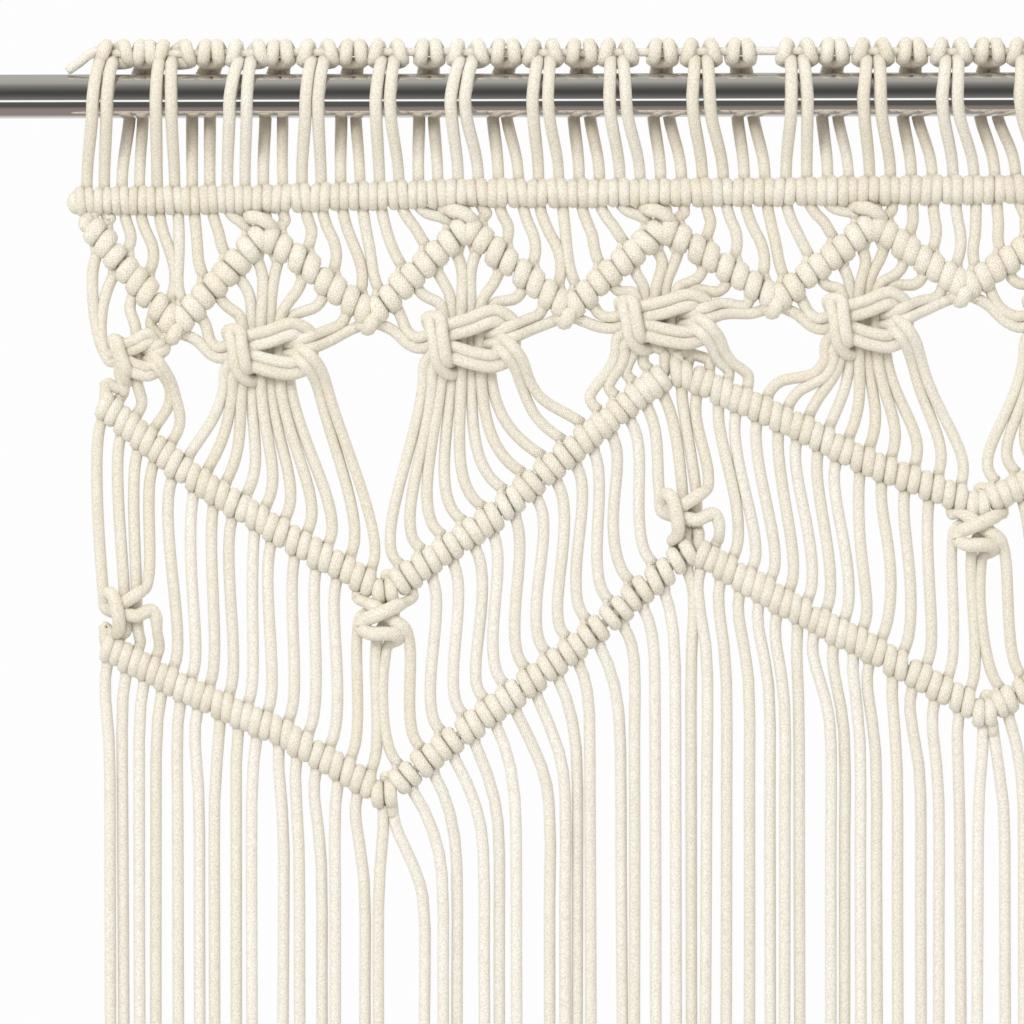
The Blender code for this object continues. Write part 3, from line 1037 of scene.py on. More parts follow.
@dataclass(frozen=True)
class ReflectorFinish:
    """Light that changes round the rod, from pale above to a bright strip and rose below.

    Attributes:
        name: the material's name.
        strength: what a level of one gives off.
        tones: angle above the way to the front in degrees, then red, green and blue.
    """

    name: str = "reflector_glow"
    strength: float = 1.4
    tones: tuple[tuple[float, float, float, float], ...] = (
        (-180.0, 0.62, 0.61, 0.60), (-138.0, 0.60, 0.58, 0.55), (-124.0, 0.33, 0.31, 0.29),
        (-112.0, 0.25, 0.21, 0.20), (-80.0, 0.27, 0.22, 0.21), (-66.0, 0.20, 0.17, 0.16),
        (-58.0, 0.085, 0.085, 0.078), (-37.0, 0.085, 0.090, 0.086), (-32.5, 0.12, 0.12, 0.12),
        (-31.0, 1.0, 1.0, 1.0), (-23.5, 1.0, 1.0, 1.0), (-21.0, 0.20, 0.20, 0.20),
        (-8.0, 0.12, 0.12, 0.12), (3.0, 0.078, 0.078, 0.076), (14.0, 0.056, 0.056, 0.055),
        (26.0, 0.075, 0.073, 0.070), (38.0, 0.125, 0.12, 0.115), (48.0, 0.17, 0.165, 0.155),
        (60.0, 0.26, 0.25, 0.24), (72.0, 0.37, 0.36, 0.34), (100.0, 0.41, 0.40, 0.37),
        (140.0, 0.40, 0.40, 0.37), (158.0, 0.33, 0.33, 0.31), (180.0, 0.55, 0.55, 0.54),
    )  # fmt: skip

    def make(self) -> Material:
        """Builds the material.

        Returns:
            The material.
        """
        board = NodeBoard(bpy.data.materials.new(self.name))
        parts = board.node("SeparateXYZ")
        board.feed(parts.inputs[0], board.places())
        ahead = board.math("MULTIPLY", parts.outputs[1], -1.0)
        turn = board.math("ARCTAN2", parts.outputs[2], ahead)
        share = board.math("MULTIPLY_ADD", turn, 1 / TURN, 0.5)
        stops = [((angle + 180) / 360, tone) for angle, *tone in self.tones]
        glow = board.node("Emission")
        board.feed(glow.inputs["Strength"], self.strength)
        board.feed(glow.inputs["Color"], board.ramp(share, stops))
        nodes = board.tree.nodes
        board.feed(nodes["Material Output"].inputs["Surface"], glow.outputs[0])
        nodes.remove(nodes["Principled BSDF"])
        return board.owner


@dataclass(frozen=True)
class FloorFinish:
    """Matt pale floor with a faint unevenness.

    Attributes:
        name: the material's name.
        colour: of the floor.
        dull: its darkest places, as a share of the colour.
        blotches: cells and detail of their noise.
        roughness: how matt it is.
    """

    name: str = "studio_floor"
    colour: Triple = (0.80, 0.80, 0.79)
    dull: float = 0.985
    blotches: tuple[float, float] = (0.6, 2.0)
    roughness: float = 0.9

    def make(self) -> Material:
        """Builds the material.

        Returns:
            The material.
        """
        board = NodeBoard(bpy.data.materials.new(self.name))
        colour = board.uneven(self.colour, self.dull, *self.blotches)
        return board.shade({"Base Color": colour, "Roughness": self.roughness})


# -------------------- rows and hitches
@dataclass(frozen=True)
class KnotRow:
    """The centre line of one knotted row.

    Attributes:
        cords: the cord numbers of its bends.
        points: x, y, z of its bends.
        reach: how far to both sides of a cord its way is taken, in cords.
    """

    cords: np.ndarray
    points: np.ndarray
    reach: float = 1.6

    @classmethod
    def from_table(cls, part: Row) -> "KnotRow":
        """Reads a row's bends from the table.

        Args:
            part: the row.

        Returns:
            The row over the curtain's whole width.
        """
        table = both_halves(LEFT_HALF_BENDS)
        across, drops = (
            [getattr(bends, f"{part.value}_{size}") for bends in table]
            for size in ("across", "drop")
        )
        points = np.array([place(x, 0.0, drop) for x, drop in zip(across, drops)])
        return cls(np.array([bends.cord for bends in table]), points)

    def point(self, cord: float) -> np.ndarray:
        """The row's point at a cord."""
        return np.array([np.interp(cord, self.cords, column) for column in self.points.T])

    def along(self, cord: float, low: float, high: float) -> np.ndarray:
        """The row's way to the right at a cord, within the arm from low to high."""
        before, after = max(cord - self.reach, low), min(cord + self.reach, high)
        return unit(self.point(after) - self.point(before))


@dataclass(frozen=True)
class Arm:
    """One straight run of a zigzag, from a peak down to a valley.

    Attributes:
        row: the zigzag.
        peak: the cord number at its upper end.
        valley: the cord number at its lower end.
        hitches: how many hitches it carries.
        start: from the peak to its first hitch, in hitches.
        finish: from its last hitch to the valley, in hitches.
    """

    row: KnotRow
    peak: float
    valley: float
    hitches: int
    start: float
    finish: float

    @property
    def fall(self) -> Fall:
        """The way it falls."""
        return Fall.RIGHTWARD if self.valley > self.peak else Fall.LEFTWARD

    @property
    def pitch(self) -> float:
        """Cords from one hitch to the next."""
        return abs(self.valley - self.peak) / (self.hitches - 1 + self.start + self.finish)

    @property
    def ends(self) -> tuple[float, float]:
        """The cord numbers at its left and right ends."""
        return min(self.peak, self.valley), max(self.peak, self.valley)

    def cord_at(self, hitch: float) -> float:
        """The cord number where a hitch sits, counted from the peak."""
        return self.peak + self.fall.value * (self.start + hitch) * self.pitch

    def slot(self, position: int) -> int:
        """The cord in a position, counted from the peak."""
        return int(self.peak + self.fall.value * (position + 0.5))

    def along(self, cord: float) -> np.ndarray:
        """The arm's way to the right at a cord."""
        return self.row.along(cord, *self.ends)

    def wrap_at(self, cord: float) -> float:
        """The width of one wrap.

        Args:
            cord: the cord number where it sits.

        Returns:
            Half a hitch's share of the arm, in millimetres.
        """
        half = self.pitch / 2
        low, high = (float(np.clip(cord + way * half, *self.ends)) for way in (-1, 1))
        whole = float(np.linalg.norm(self.row.point(high) - self.row.point(low)))
        return whole / (high - low) * half


@dataclass(frozen=True)
class Hitch:
    """A double half hitch: two wraps side by side on the face, a crossing at the back.

    Attributes:
        radius: from the carrying cord's axis to the wrapping cord's.
        deep: half the wrapping cord's thickness.
        widest: the most that half its width may be.
        rake: how far the wraps lean towards the upright, in degrees.
        lead: how far above and below the wraps the cord starts and ends.
        enter_shift: how far downhill it comes in, in wrap widths.
        leave_shift: how far uphill it leaves, in wrap widths.
        pull: how far its way in leans to the right.
        BETWEEN: the turn between its first and second wraps, in degrees.
        BLEND: the turn over which one passes into the other.
        UNEVEN_RAKE: spread of the random differences of its rake, in degrees.
        UNEVEN_RADIUS: spread of those of its radius.
        UNEVEN_SHIFT: spread of those of its place along the row, in wrap widths.
        UNEVEN_WIDTH: spread of those of its cord's width.
        FULLNESS: how much of a wrap's width the cord fills to each side.
        ENTER_BACK: how far behind the carrying cord it comes in, as a share of the radius.
        LEAVE_BACK: how far behind it leaves.
        ENTER_PLUMB: how much its way in turns straight down.
        LEAVE_PLUMB: how much its way out does.
        TURNS: the turns at which it is laid out, in degrees.
        SHIFTS: turns, and the cord's place along the row there in wrap widths.
        SWELLS: turns, and how far the cord stands off where it crosses itself.
    """

    radius: float = 3.4
    deep: float = 1.85
    widest: float = 2.4
    rake: float = 0.0
    lead: float = 2.6
    enter_shift: float = 0.1
    leave_shift: float = 0.1
    pull: float = 0.0

    BETWEEN: ClassVar[float] = -405.0
    BLEND: ClassVar[float] = 90.0
    UNEVEN_RAKE: ClassVar[float] = 3.8
    UNEVEN_RADIUS: ClassVar[float] = 0.16
    UNEVEN_SHIFT: ClassVar[float] = 0.03
    UNEVEN_WIDTH: ClassVar[float] = 0.04
    FULLNESS: ClassVar[float] = 0.60
    ENTER_BACK: ClassVar[float] = 0.62
    LEAVE_BACK: ClassVar[float] = 0.50
    ENTER_PLUMB: ClassVar[float] = 0.15
    LEAVE_PLUMB: ClassVar[float] = 0.25
    TURNS: ClassVar[tuple[float, ...]] = (
        -85.0, -130.0, -180.0, -225.0, -270.0, -315.0, -360.0, -405.0, -450.0,
        -495.0, -540.0, -585.0, -630.0, -675.0, -720.0, -765.0, -815.0,
    )  # fmt: skip
    SHIFTS: ClassVar[tuple[tuple[float, float], ...]] = (
        (-815.0, -0.30), (-765.0, -0.50), (-500.0, -0.50), (-400.0, 0.50),
        (-230.0, 0.50), (-180.0, 0.52), (-85.0, 0.40),
    )  # fmt: skip
    SWELLS: ClassVar[tuple[tuple[float, float], ...]] = (
        (-820.0, 0.0), (-560.0, 0.0), (-495.0, 1.1), (-450.0, 1.5), (-405.0, 1.0),
        (-350.0, 0.0), (-80.0, 0.0),
    )  # fmt: skip

    def tie(
        self,
        centre: np.ndarray,
        along: np.ndarray,
        wrap: float,
        side: int,
        tint: float,
        rng: np.random.Generator,
    ) -> tuple[Strand, Lead, Lead]:
        """Winds one cord round the carrying cord.

        Args:
            centre: the middle of the hitch, on the carrying cord's axis.
            along: the row's way to the right.
            wrap: the width of one wrap.
            side: 1 where the cord comes in at the right, -1 at the left.
            tint: the cord's shade.
            rng: makes no two hitches quite the same.

        Returns:
            The strand, where it comes in and where it leaves.
        """
        above = np.array((-along[2], 0.0, along[0]))
        lean = math.tan(math.radians(self.rake + rng.normal(0, self.UNEVEN_RAKE))) * side
        slack = rng.normal(0, self.UNEVEN_RADIUS, 2)
        nudge = rng.normal(0, self.UNEVEN_SHIFT, 2)
        rows = []
        for turn in self.TURNS:
            second = float(np.clip((self.BETWEEN - turn) / self.BLEND, 0, 1))
            angle = math.radians(turn)
            radius = self.radius + np.interp(turn, *zip(*self.SWELLS))
            radius += slack[0] * (1 - second) + slack[1] * second
            shift = np.interp(turn, *zip(*self.SHIFTS)) * wrap * side
            shift += (nudge[0] * (1 - second) + nudge[1] * second) * wrap
            height = radius * math.cos(angle)
            out = FACE * radius * math.sin(angle)
            rows.append(centre + above * height + out + along * (shift - lean * height))
        tall = self.radius + self.lead
        lobe = unit(above - along * lean)
        enter = centre + above * tall - FACE * self.ENTER_BACK * self.radius
        enter = enter + along * self.enter_shift * wrap * side
        leave = centre - lobe * tall - FACE * self.LEAVE_BACK * self.radius
        leave = leave - along * self.leave_shift * wrap * side
        line = np.vstack((enter, rows, leave))
        half = min(self.FULLNESS * wrap, self.widest) + rng.normal(0, self.UNEVEN_WIDTH)
        wide = np.full(len(line), half)
        deep = np.full(len(line), self.deep)
        wide[[0, -1]] = deep[[0, -1]] = CORD_RADIUS
        strand = Strand(line, tint, wide, deep, along, step=3.0)
        inward = unit(-above + self.ENTER_PLUMB * DOWN + self.pull * RIGHT)
        outward = unit(-lobe + self.LEAVE_PLUMB * DOWN)
        return strand, Lead(enter, inward), Lead(leave, outward)


@dataclass
class TiedRow:
    """A finished row: where every cord comes in and leaves."""

    enter: dict[int, Lead] = field(default_factory=dict)
    leave: dict[int, Lead] = field(default_factory=dict)


@dataclass
class CordShades:
    """The tint of every cord, the same from the header to the hem, but painted paler where it
    hangs free.

    Attributes:
        seed: of the random draw.
        spread: from the deepest tint to the palest.
        contrast: the share of that where the cords hang free and are painted paler.
    """

    seed: int = 11
    spread: float = 0.62
    contrast: float = 0.8

    def __post_init__(self) -> None:
        """Draws the tints."""
        self.tints = self.spread * np.random.default_rng(self.seed).random(CORDS)

    def __getitem__(self, cord: int) -> float:
        """The tint of one cord."""
        return float(self.tints[cord])

    def painted_lit_tint(self, cord: int, base: float) -> float:
        """The tint of one cord where it hangs free: painted light, paler as if more light fell on
        it.
        """
        return base + self.contrast * self[cord]


@dataclass(kw_only=True)
class CurtainPart:
    """A sub-assembly made of cord.

    Attributes:
        shades: the cords' tints.
        cotton: the cord's finish.
        name: the piece's name.
        stands_for: how the names of its nodes in the frame start.
        part: its row in the table of bends, where it has one.
    """

    shades: CordShades
    cotton: Material
    name: str = ""
    stands_for: tuple[str, ...] = ()
    part: Optional[Row] = None

    def __post_init__(self) -> None:
        """Starts the part's mesh, its row and its own random draws."""
        self.mesh = CordMesh(self.name)
        self.rng = np.random.default_rng(sum(map(ord, self.name)))
        if self.part:
            self.row = KnotRow.from_table(self.part)

    def dress(self) -> Piece:
        """Makes the mesh, gives it its finish and puts it in the frame's place.

        Returns:
            The finished piece.
        """
        piece = self.mesh.build()
        piece.data.materials.append(self.cotton)
        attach(piece, "root")
        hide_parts(*(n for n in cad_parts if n.startswith(self.stands_for)))
        strands, faces = len(self.mesh.strands), len(piece.data.polygons)
        LOG.info("%s: %d strands, %d faces", self.name, strands, faces)
        return piece


# -------------------- rod
@dataclass
class Rod:
    """The polished rod, a tube with a small chamfer at both ends.

    Attributes:
        name: the piece's name.
        radius: its outside radius.
        length: from end to end.
        chamfer: the bevel at both ends.
        margin: from an end to the first of the rings between.
        rings: between the ends.
        facets: sides round it.
        sharp: the least angle of a sharp edge, in degrees.
        finish: its steel.
    """

    name: str = "polished_rod"
    radius: float = 8.0
    length: float = 1000.0
    chamfer: float = 0.5
    margin: float = 20.0
    rings: int = 9
    facets: int = 96
    sharp: float = 25.0
    finish: SteelFinish = SteelFinish()

    def build(self) -> Piece:
        """Turns the rod, gives it its finish and puts it in the frame's place.

        Returns:
            The finished rod.
        """
        half, count = self.length / 2, self.facets
        between = np.linspace(-half + self.margin, half - self.margin, self.rings)
        stations = [
            (-half, self.radius - self.chamfer),
            (-half + self.chamfer, self.radius),
            *((x, self.radius) for x in between),
            (half - self.chamfer, self.radius),
            (half, self.radius - self.chamfer),
        ]
        turns = [TURN * i / count for i in range(count)]
        points = [
            (x * MM, r * math.cos(turn) * MM, r * math.sin(turn) * MM)
            for x, r in stations
            for turn in turns
        ]
        faces = [
            (low + i, low + count + i, low + count + (i + 1) % count, low + (i + 1) % count)
            for low in range(0, len(points) - count, count)
            for i in range(count)
        ]
        faces.append(tuple(range(count)))
        faces.append(tuple(reversed(range(len(points) - count, len(points)))))
        mesh = mesh_of(self.name, points, faces, self.finish.make())
        mesh.shade_smooth()
        mesh.set_sharp_from_angle(angle=math.radians(self.sharp))
        rod = put(self.name, mesh)
        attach(rod, "root")
        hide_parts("rod")
        LOG.info("%s: %d faces", self.name, len(mesh.polygons))
        return rod


# -------------------- header and bar
@dataclass(kw_only=True)
class HitchedBar(CurtainPart):
    """The straight hitched bar, with a round knot at each end.

    Attributes:
        hitch: the hitches' sizes.
        knot: a round knot's outline: places out from the bar's end, and half its width there.
        knot_drop: how far its middle lies below the bar's.
        uneven: spread of the hitches' heights.
        gap: cords between two points of the carrying cord.
        tints: shades of the carrying cord and of the round knots.
    """

    name: str = "hitched_bar"
    stands_for: tuple[str, ...] = ("hitch_bar", "bar_ball")
    part: Optional[Row] = Row.BAR
    hitch: Hitch = Hitch(3.45, 1.8, 2.3, lead=1.6, enter_shift=0.15, leave_shift=-0.35)
    knot: tuple[tuple[float, float], ...] = (
        (-3.0, 3.5), (-1.4, 4.0), (-0.4, 4.3), (0.8, 4.2), (2.0, 3.5), (2.9, 2.3), (3.4, 0.7),
    )  # fmt: skip
    knot_drop: float = 0.6
    uneven: float = 0.12
    gap: float = 5.0
    tints: tuple[float, float] = (0.5, 0.4)

    def tie(self) -> TiedRow:
        """Ties a hitch for every cord.

        Returns:
            Where the cords come in and leave.
        """
        tied = TiedRow()
        for cord in range(CORDS):
            across = self.row.point(cord + 0.5) - self.row.point(cord - 0.5)
            middle = self.row.point(cord) + UP * self.rng.normal(0, self.uneven)
            wrap = float(np.linalg.norm(across)) / 2
            strand, tied.enter[cord], tied.leave[cord] = self.hitch.tie(
                middle, unit(across), wrap, 1, self.shades[cord], self.rng
            )
            self.mesh.add(strand)
        line = np.array([self.row.point(cord) for cord in np.arange(-0.5, CORDS, self.gap)])
        self.mesh.add(Strand(line, self.tints[0], wide=CARRIER_RADIUS))
        outs, radii = np.array(self.knot).T
        for end, away in ((line[0], -1.0), (line[-1], 1.0)):
            knot = end + np.outer(away * outs, RIGHT) + self.knot_drop * DOWN
            self.mesh.add(Strand(knot, self.tints[1], wide=radii, step=0.7))
        return tied


@dataclass(kw_only=True)
class Header(CurtainPart):
    """The header cord with its mounting knots, and the folded cords down to the bar.

    Attributes:
        thin: half the header cord's width.
        height: from the rod's axis up to the header cord's.
        radius: from the header cord's axis to a mounting knot's cord.
        climb: a folded cord's way past the rod and up: share of the way to its knot's inner
            place, depth and height.
        rod_pass: height where it is beside the rod, how much it leans outwards there, and
            how far it keeps its headings on its way up to it.
        fold: the middle of the fold: out from the knot's middle, back and up.
        inner: from a knot's middle to its inner places, before and behind the rod.
        back_steps: places of a knot's cord at the stations, out from the knot's end, where
            the cord passes behind the rod.
        front_steps: the last three of those where it passes before the rod.
        back_narrow: how wide a knot is behind the rod, as a share of the table's width.
        turns: a knot's way round the header cord, in degrees.
        stations: the turns at which its cord's places across are set.
        lean: how far the folded cords hang from their places on the bar, by cord.
        plain: sizes of a plain pair before the rod and of one behind it.
        uneven: spread of the pairs' places, and of their knots' turns.
        passing: where the cord starts to swell as it nears the rod, over how far, and by
            how much.
        swell: the same at its knot.
        below: the same for the painted shade on the cords behind, under the rod.
        behind: the same at their knots.
        shaded: the greatest height of the one painted shade, and the least depth of the other.
        tail: the header cord's loose end: places out, depth, height and half its width.
        wave: rise and length of the header cord's slight wave.
        gap: between two points of the header cord.
        tints: shades of the header cord and of its loose ends.
    """

    name: str = "header_and_loops"
    stands_for: tuple[str, ...] = ("header_row", "header_tail")
    part: Optional[Row] = Row.BAR
    thin: float = 1.5
    height: float = 15.7
    radius: float = 2.95
    climb: tuple[Triple, ...] = ((0.25, 10.35, 3.0), (0.65, 8.4, 8.4), (1.0, 4.2, 11.4))
    rod_pass: Triple = (-1.5, 0.12, 11.0)
    fold: Triple = (1.5, 1.4, 11.9)
    inner: tuple[float, float] = (2.3, 1.7)
    back_steps: tuple[float, ...] = (0.7, 0.35, -0.3, 1.4, 1.2)
    front_steps: tuple[float, ...] = (-1.1, 0.0, 1.3)
    back_narrow: float = 0.88
    turns: tuple[float, ...] = (180.0, 225.0, 270.0, 315.0, 360.0, 405.0, 450.0, 495.0, 530.0)
    stations: tuple[float, ...] = (180.0, 255.0, 360.0, 450.0, 540.0)
    lean: tuple[tuple[float, float], ...] = (
        (45.0, -3.0), (50.0, -0.5), (60.0, 0.0), (70.0, 0.5), (75.0, 3.0),
        (86.5, 0.3), (97.0, 3.0), (109.0, -1.0), (119.0, -2.6),
    )  # fmt: skip
    plain: tuple[FoldedPair, FoldedPair] = (
        FoldedPair(0.0, 5.5, 0.6, -4.5, 4.6), FoldedPair(0.0, 5.5, 0.6, -2.7, 2.8),
    )  # fmt: skip
    uneven: tuple[float, float] = (0.4, 0.25)
    passing: Triple = (-26.0, 14.0, 0.16)
    swell: Triple = (9.0, 4.0, 0.14)
    below: Triple = (-24.0, 12.0, 0.34)
    behind: Triple = (6.0, 3.0, 0.42)
    shaded: tuple[float, float] = (2.0, 1.0)
    tail: tuple[tuple[float, float, float, float], ...] = (
        (-2.0, -0.4, 16.3, 1.4), (1.5, -1.0, 16.7, 1.7), (5.0, -1.8, 15.2, 1.75),
        (9.0, -2.4, 12.0, 1.75), (12.6, -2.8, 9.5, 1.7),
    )  # fmt: skip
    wave: tuple[float, float] = (0.25, 23.0)
    gap: float = 6.0
    tints: tuple[float, float] = (0.9, 0.8)

    def pair(self, number: int) -> FoldedPair:
        """The sizes of a folded cord, from the table or like its neighbours.

        Args:
            number: its number, from the left.

        Returns:
            Its sizes.
        """
        if number < len(LEFT_PAIRS):
            return LEFT_PAIRS[number]
        cord = 2 * number + 0.5
        across = self.row.point(cord)[0] + CURTAIN_WIDTH / 2
        across += float(np.interp(cord, *zip(*self.lean))) + self.rng.normal(0, self.uneven[0])
        plain = self.plain[number % 2]
        left, right = (plain.left, plain.right) + self.rng.normal(0, self.uneven[1], 2)
        return plain._replace(across=across, left=left, right=right)

    def _half(self, pair: FoldedPair, way: Pass, hand: int, enter: Lead) -> np.ndarray:
        """One end of a folded cord, from the bar up to the fold.

        Args:
            pair: its sizes.
            way: the side of the rod that it passes.
            hand: -1 for the left end, 1 for the right one.
            enter: where it goes into the bar.

        Returns:
            Rows of x, y, z, upwards.
        """
        face = -way.value
        across = pair.across + hand * pair.spread / 2 - CURTAIN_WIDTH / 2
        top = pair.across + pair.shift - CURTAIN_WIDTH / 2
        inner = top + hand * self.inner[way is Pass.BACK]
        knob = pair.left if hand < 0 else pair.right
        if way is Pass.FRONT:
            places = [inner, inner, *(top + knob + hand * step for step in self.front_steps)]
        else:
            places = [top + self.back_narrow * knob + hand * step for step in self.back_steps]
        low, flare, reach = self.rod_pass
        beside = np.array((across, face * self.climb[0][1], low))
        rod_pass = Lead(beside, unit((0.0, flare * face, 1.0)))
        up = bridge(Lead(enter.point, -enter.heading), rod_pass, reach, reach)[:-1]
        climb = [
            (across + share * (inner - across), face * depth, height)
            for share, depth, height in self.climb
        ]
        wraps = []
        for turn in self.turns:
            angle = math.radians(turn)
            out, rise = self.radius * math.sin(angle), self.radius * math.cos(angle)
            wraps.append((np.interp(turn, self.stations, places), face * out, self.height + rise))
        return np.vstack((up, climb, wraps, (top + hand * self.fold[0], *self.fold[1:])))

    def tie(self, bar: TiedRow) -> None:
        """Hangs every folded cord from the header cord.

        Args:
            bar: where the cords go into the bar.
        """
        for number in range(CORDS // 2):
            pair = self.pair(number)
            way = Pass.FRONT if number % 2 == 0 else Pass.BACK
            left = self._half(pair, way, -1, bar.enter[2 * number])
            right = self._half(pair, way, 1, bar.enter[2 * number + 1])
            line = np.vstack((left, right[::-1]))
            depth, height = line[:, 1], line[:, 2]
            radii = CORD_RADIUS + growth(height, *self.passing) + growth(height, *self.swell)
            # painted shade on the back pairs: darker just under the rod and behind their knots
            below = growth(height, *self.below) * (height < self.shaded[0])
            behind = growth(height, *self.behind) * (depth > self.shaded[1])
            shade = (below + behind) * (way is Pass.BACK)
            tint = self.shades[2 * number]
            self.mesh.add(Strand(line, tint, wide=radii, step=5.0, turn=0.36, shade=shade))
        first = LEFT_PAIRS[0]
        begin, end = first.across + first.shift + first.left, pair.across + pair.shift + pair.right
        self._string(begin, end)

    def _string(self, first: float, last: float) -> None:
        """Lays the header cord with its two loose, trimmed ends.

        Args:
            first: where the first mounting knot begins, across.
            last: where the last one ends.
        """
        rise, length = self.wave
        line = [
            place(across, 0.0, -self.height + rise * math.sin(across / length))
            for across in np.arange(first + self.gap / 2, last - self.gap / 2, self.gap)
        ]
        self.mesh.add(Strand(np.array(line), self.tints[0], wide=self.thin))
        for end, away in ((first, -1.0), (last, 1.0)):
            tail = np.array([place(end + away * out, back, -up) for out, back, up, _ in self.tail])
            radii = np.array([row[-1] for row in self.tail])
            self.mesh.add(Strand(tail, self.tints[1], wide=radii, step=1.5, cut=True))


# -------------------- zigzags
class PeakWay(NamedTuple):
    """How a carrying cord comes to its arm, in steps of right, back and up from the peak.

    ``slot`` is its place from the peak, ``lead`` where it comes down, ``heading`` its way
    there and ``bends`` its next points.  Its last point before the first hitch lies
    ``downhill`` along the arm and ``lift`` above it; there is none where that is zero.
    """

    slot: int
    lead: Triple
    heading: Triple
    bends: tuple[Triple, ...] = ()
    downhill: float = 0.0
    lift: float = 0.0


@dataclass(frozen=True)
class ArmManner:
    """How the hitches sit on the arms that fall one way.

    Attributes:
        rake: how far the wraps lean towards the upright, in degrees.
        enter_shift: how far downhill the cords come in, in wrap widths.
        leave_shift: how far uphill the cords leave, in wrap widths.
        start: from the peak to the first hitch, in hitches.
        pull: how far the cords' way in leans to the right.
        peak_way: how the carrying cord comes to the arm.
        edge_way: the same at the curtain's edge, where it differs.
    """

    rake: float
    enter_shift: float
    leave_shift: float
    start: float
    pull: float
    peak_way: PeakWay
    edge_way: Optional[PeakWay] = None


@dataclass(kw_only=True)
class Zigzag(CurtainPart):
    """A zigzag of hitches tied round carrying cords that cross in its valleys.

    Attributes:
        hitch: the hitch's sizes.
        hitches: hitches on each arm.
        span: cords from a peak to a valley.
        finish: from an arm's last hitch to its valley, in hitches.
        gather: how far the leaving cords draw in from both ends of an arm, in wrap widths.
        peak_radius: of a carrying cord in its peak.
        uneven: spread of the hitches' places across, through and down.
        rightward: how the hitches sit on the arms that fall to the right.
        leftward: the same on the arms that fall to the left.
        valley_steps: right, back and up from a valley to where a carrying cord comes into
            its last hitch, bends down beside it, and leaves.
    """

    hitch: Hitch = Hitch()
    hitches: int = 14
    span: int = 15
    finish: float = 1.0
    gather: float = 0.0
    peak_radius: float = CORD_RADIUS
    uneven: Triple = (0.12, 0.1, 0.2)
    rightward: Optional[ArmManner] = None
    leftward: Optional[ArmManner] = None
    valley_steps: tuple[Triple, Triple, Triple] = (
        (6.0, 1.5, 4.6), (2.6, 0.6, -2.6), (3.4, 1.2, -7.4),
    )  # fmt: skip

    def manner(self, fall: Fall) -> ArmManner:
        """How the hitches sit on the arms that fall one way."""
        return self.rightward if fall is Fall.RIGHTWARD else self.leftward

    def arms(self) -> list[Arm]:
        """Its arms, from left to right.

        Returns:
            Two arms for each peak, and one at each edge.
        """
        found = []
        for peak in (2 * self.span * n - 0.5 for n in range(CORDS // (2 * self.span) + 1)):
            for fall in (Fall.LEFTWARD, Fall.RIGHTWARD):
                valley, start = peak + fall.value * self.span, self.manner(fall).start
                if 0 < valley < LAST_CORD:
                    found.append(Arm(self.row, peak, valley, self.hitches, start, self.finish))
        return found

    def tie(self) -> TiedRow:
        """Ties every arm and crossing.

        Returns:
            Where the cords come in and leave.
        """
        tied = TiedRow()
        for arm in self.arms():
            manner = self.manner(arm.fall)
            for number in range(self.hitches):
                drawn = self.gather * (2 * number / (self.hitches - 1) - 1)
                hitch = replace(
                    self.hitch,
                    rake=manner.rake,
                    enter_shift=manner.enter_shift,
                    leave_shift=manner.leave_shift + drawn,
                    pull=manner.pull,
                )
                cord, slot = arm.cord_at(number), arm.slot(number + 1)
                middle = arm.row.point(cord) + self.rng.normal(0, self.uneven)
                along, wrap = arm.along(cord), arm.wrap_at(cord)
                strand, tied.enter[slot], tied.leave[arm.slot(number)] = hitch.tie(
                    middle, along, wrap, arm.fall.value, self.shades[slot], self.rng
                )
                self.mesh.add(strand)
            self._carry(arm, tied)
        return tied

    def _carry(self, arm: Arm, tied: TiedRow) -> None:
        """Lays an arm's carrying cord from its peak through its valley.

        Args:
            arm: the arm.
            tied: takes where the cord comes in and leaves.
        """
        hand, manner, peak = arm.fall.value, self.manner(arm.fall), arm.row.point(arm.peak)
        at_edge = not 0 < arm.peak < LAST_CORD
        way = manner.edge_way if at_edge and manner.edge_way else manner.peak_way
        lead = Lead(peak + way.lead, unit(way.heading))
        start = [lead.point - lead.heading * OVERLAP, lead.point]
        start += [peak + bend for bend in way.bends]
        if way.downhill:
            inwards = 0.6
            downhill = arm.along(arm.peak + hand * inwards) * hand
            start.append(peak + downhill * way.downhill + UP * way.lift)
        inside = [arm.row.point(arm.cord_at(number)) for number in range(self.hitches)]
        slot = arm.slot(self.hitches) + hand
        tied.enter[arm.slot(way.slot)] = lead
        tied.leave[slot], ends = self._cross(arm, arm.row.point(arm.valley), slot)
        line = np.vstack((start, inside, ends))
        radii = np.full(len(line), CARRIER_RADIUS)
        radii[: len(start)] = self.peak_radius
        radii[0] = radii[-3:] = CORD_RADIUS
        self.mesh.add(Strand(line, self.shades[arm.slot(way.slot)], wide=radii, step=4.0))

    def _cross(self, arm: Arm, valley: np.ndarray, slot: int) -> tuple[Lead, np.ndarray]:
        """Ends a carrying cord in its valley.

        Args:
            arm: the arm.
            valley: the valley's point.
            slot: the cord's number below the zigzag.

        Returns:
            Where the cord leaves, and its last points.
        """
        lift, past, lean = 0.2, 2.0, 0.1
        into, bend, out = (valley + step for step in self.valley_steps)
        if arm.fall is Fall.LEFTWARD:
            middle, wrap = valley + UP * lift, arm.wrap_at(arm.valley + 1.0)
            strand, enter, leave = self.hitch.tie(
                middle, RIGHT, wrap, 1, self.shades[slot], self.rng
            )
            self.mesh.add(strand)
            return leave, np.vstack((into, enter.point, enter.point + enter.heading * past))
        leave = Lead(out, unit((lean, 0.0, -1.0)))
        return leave, np.vstack((valley, bend, out, out + leave.heading * OVERLAP))


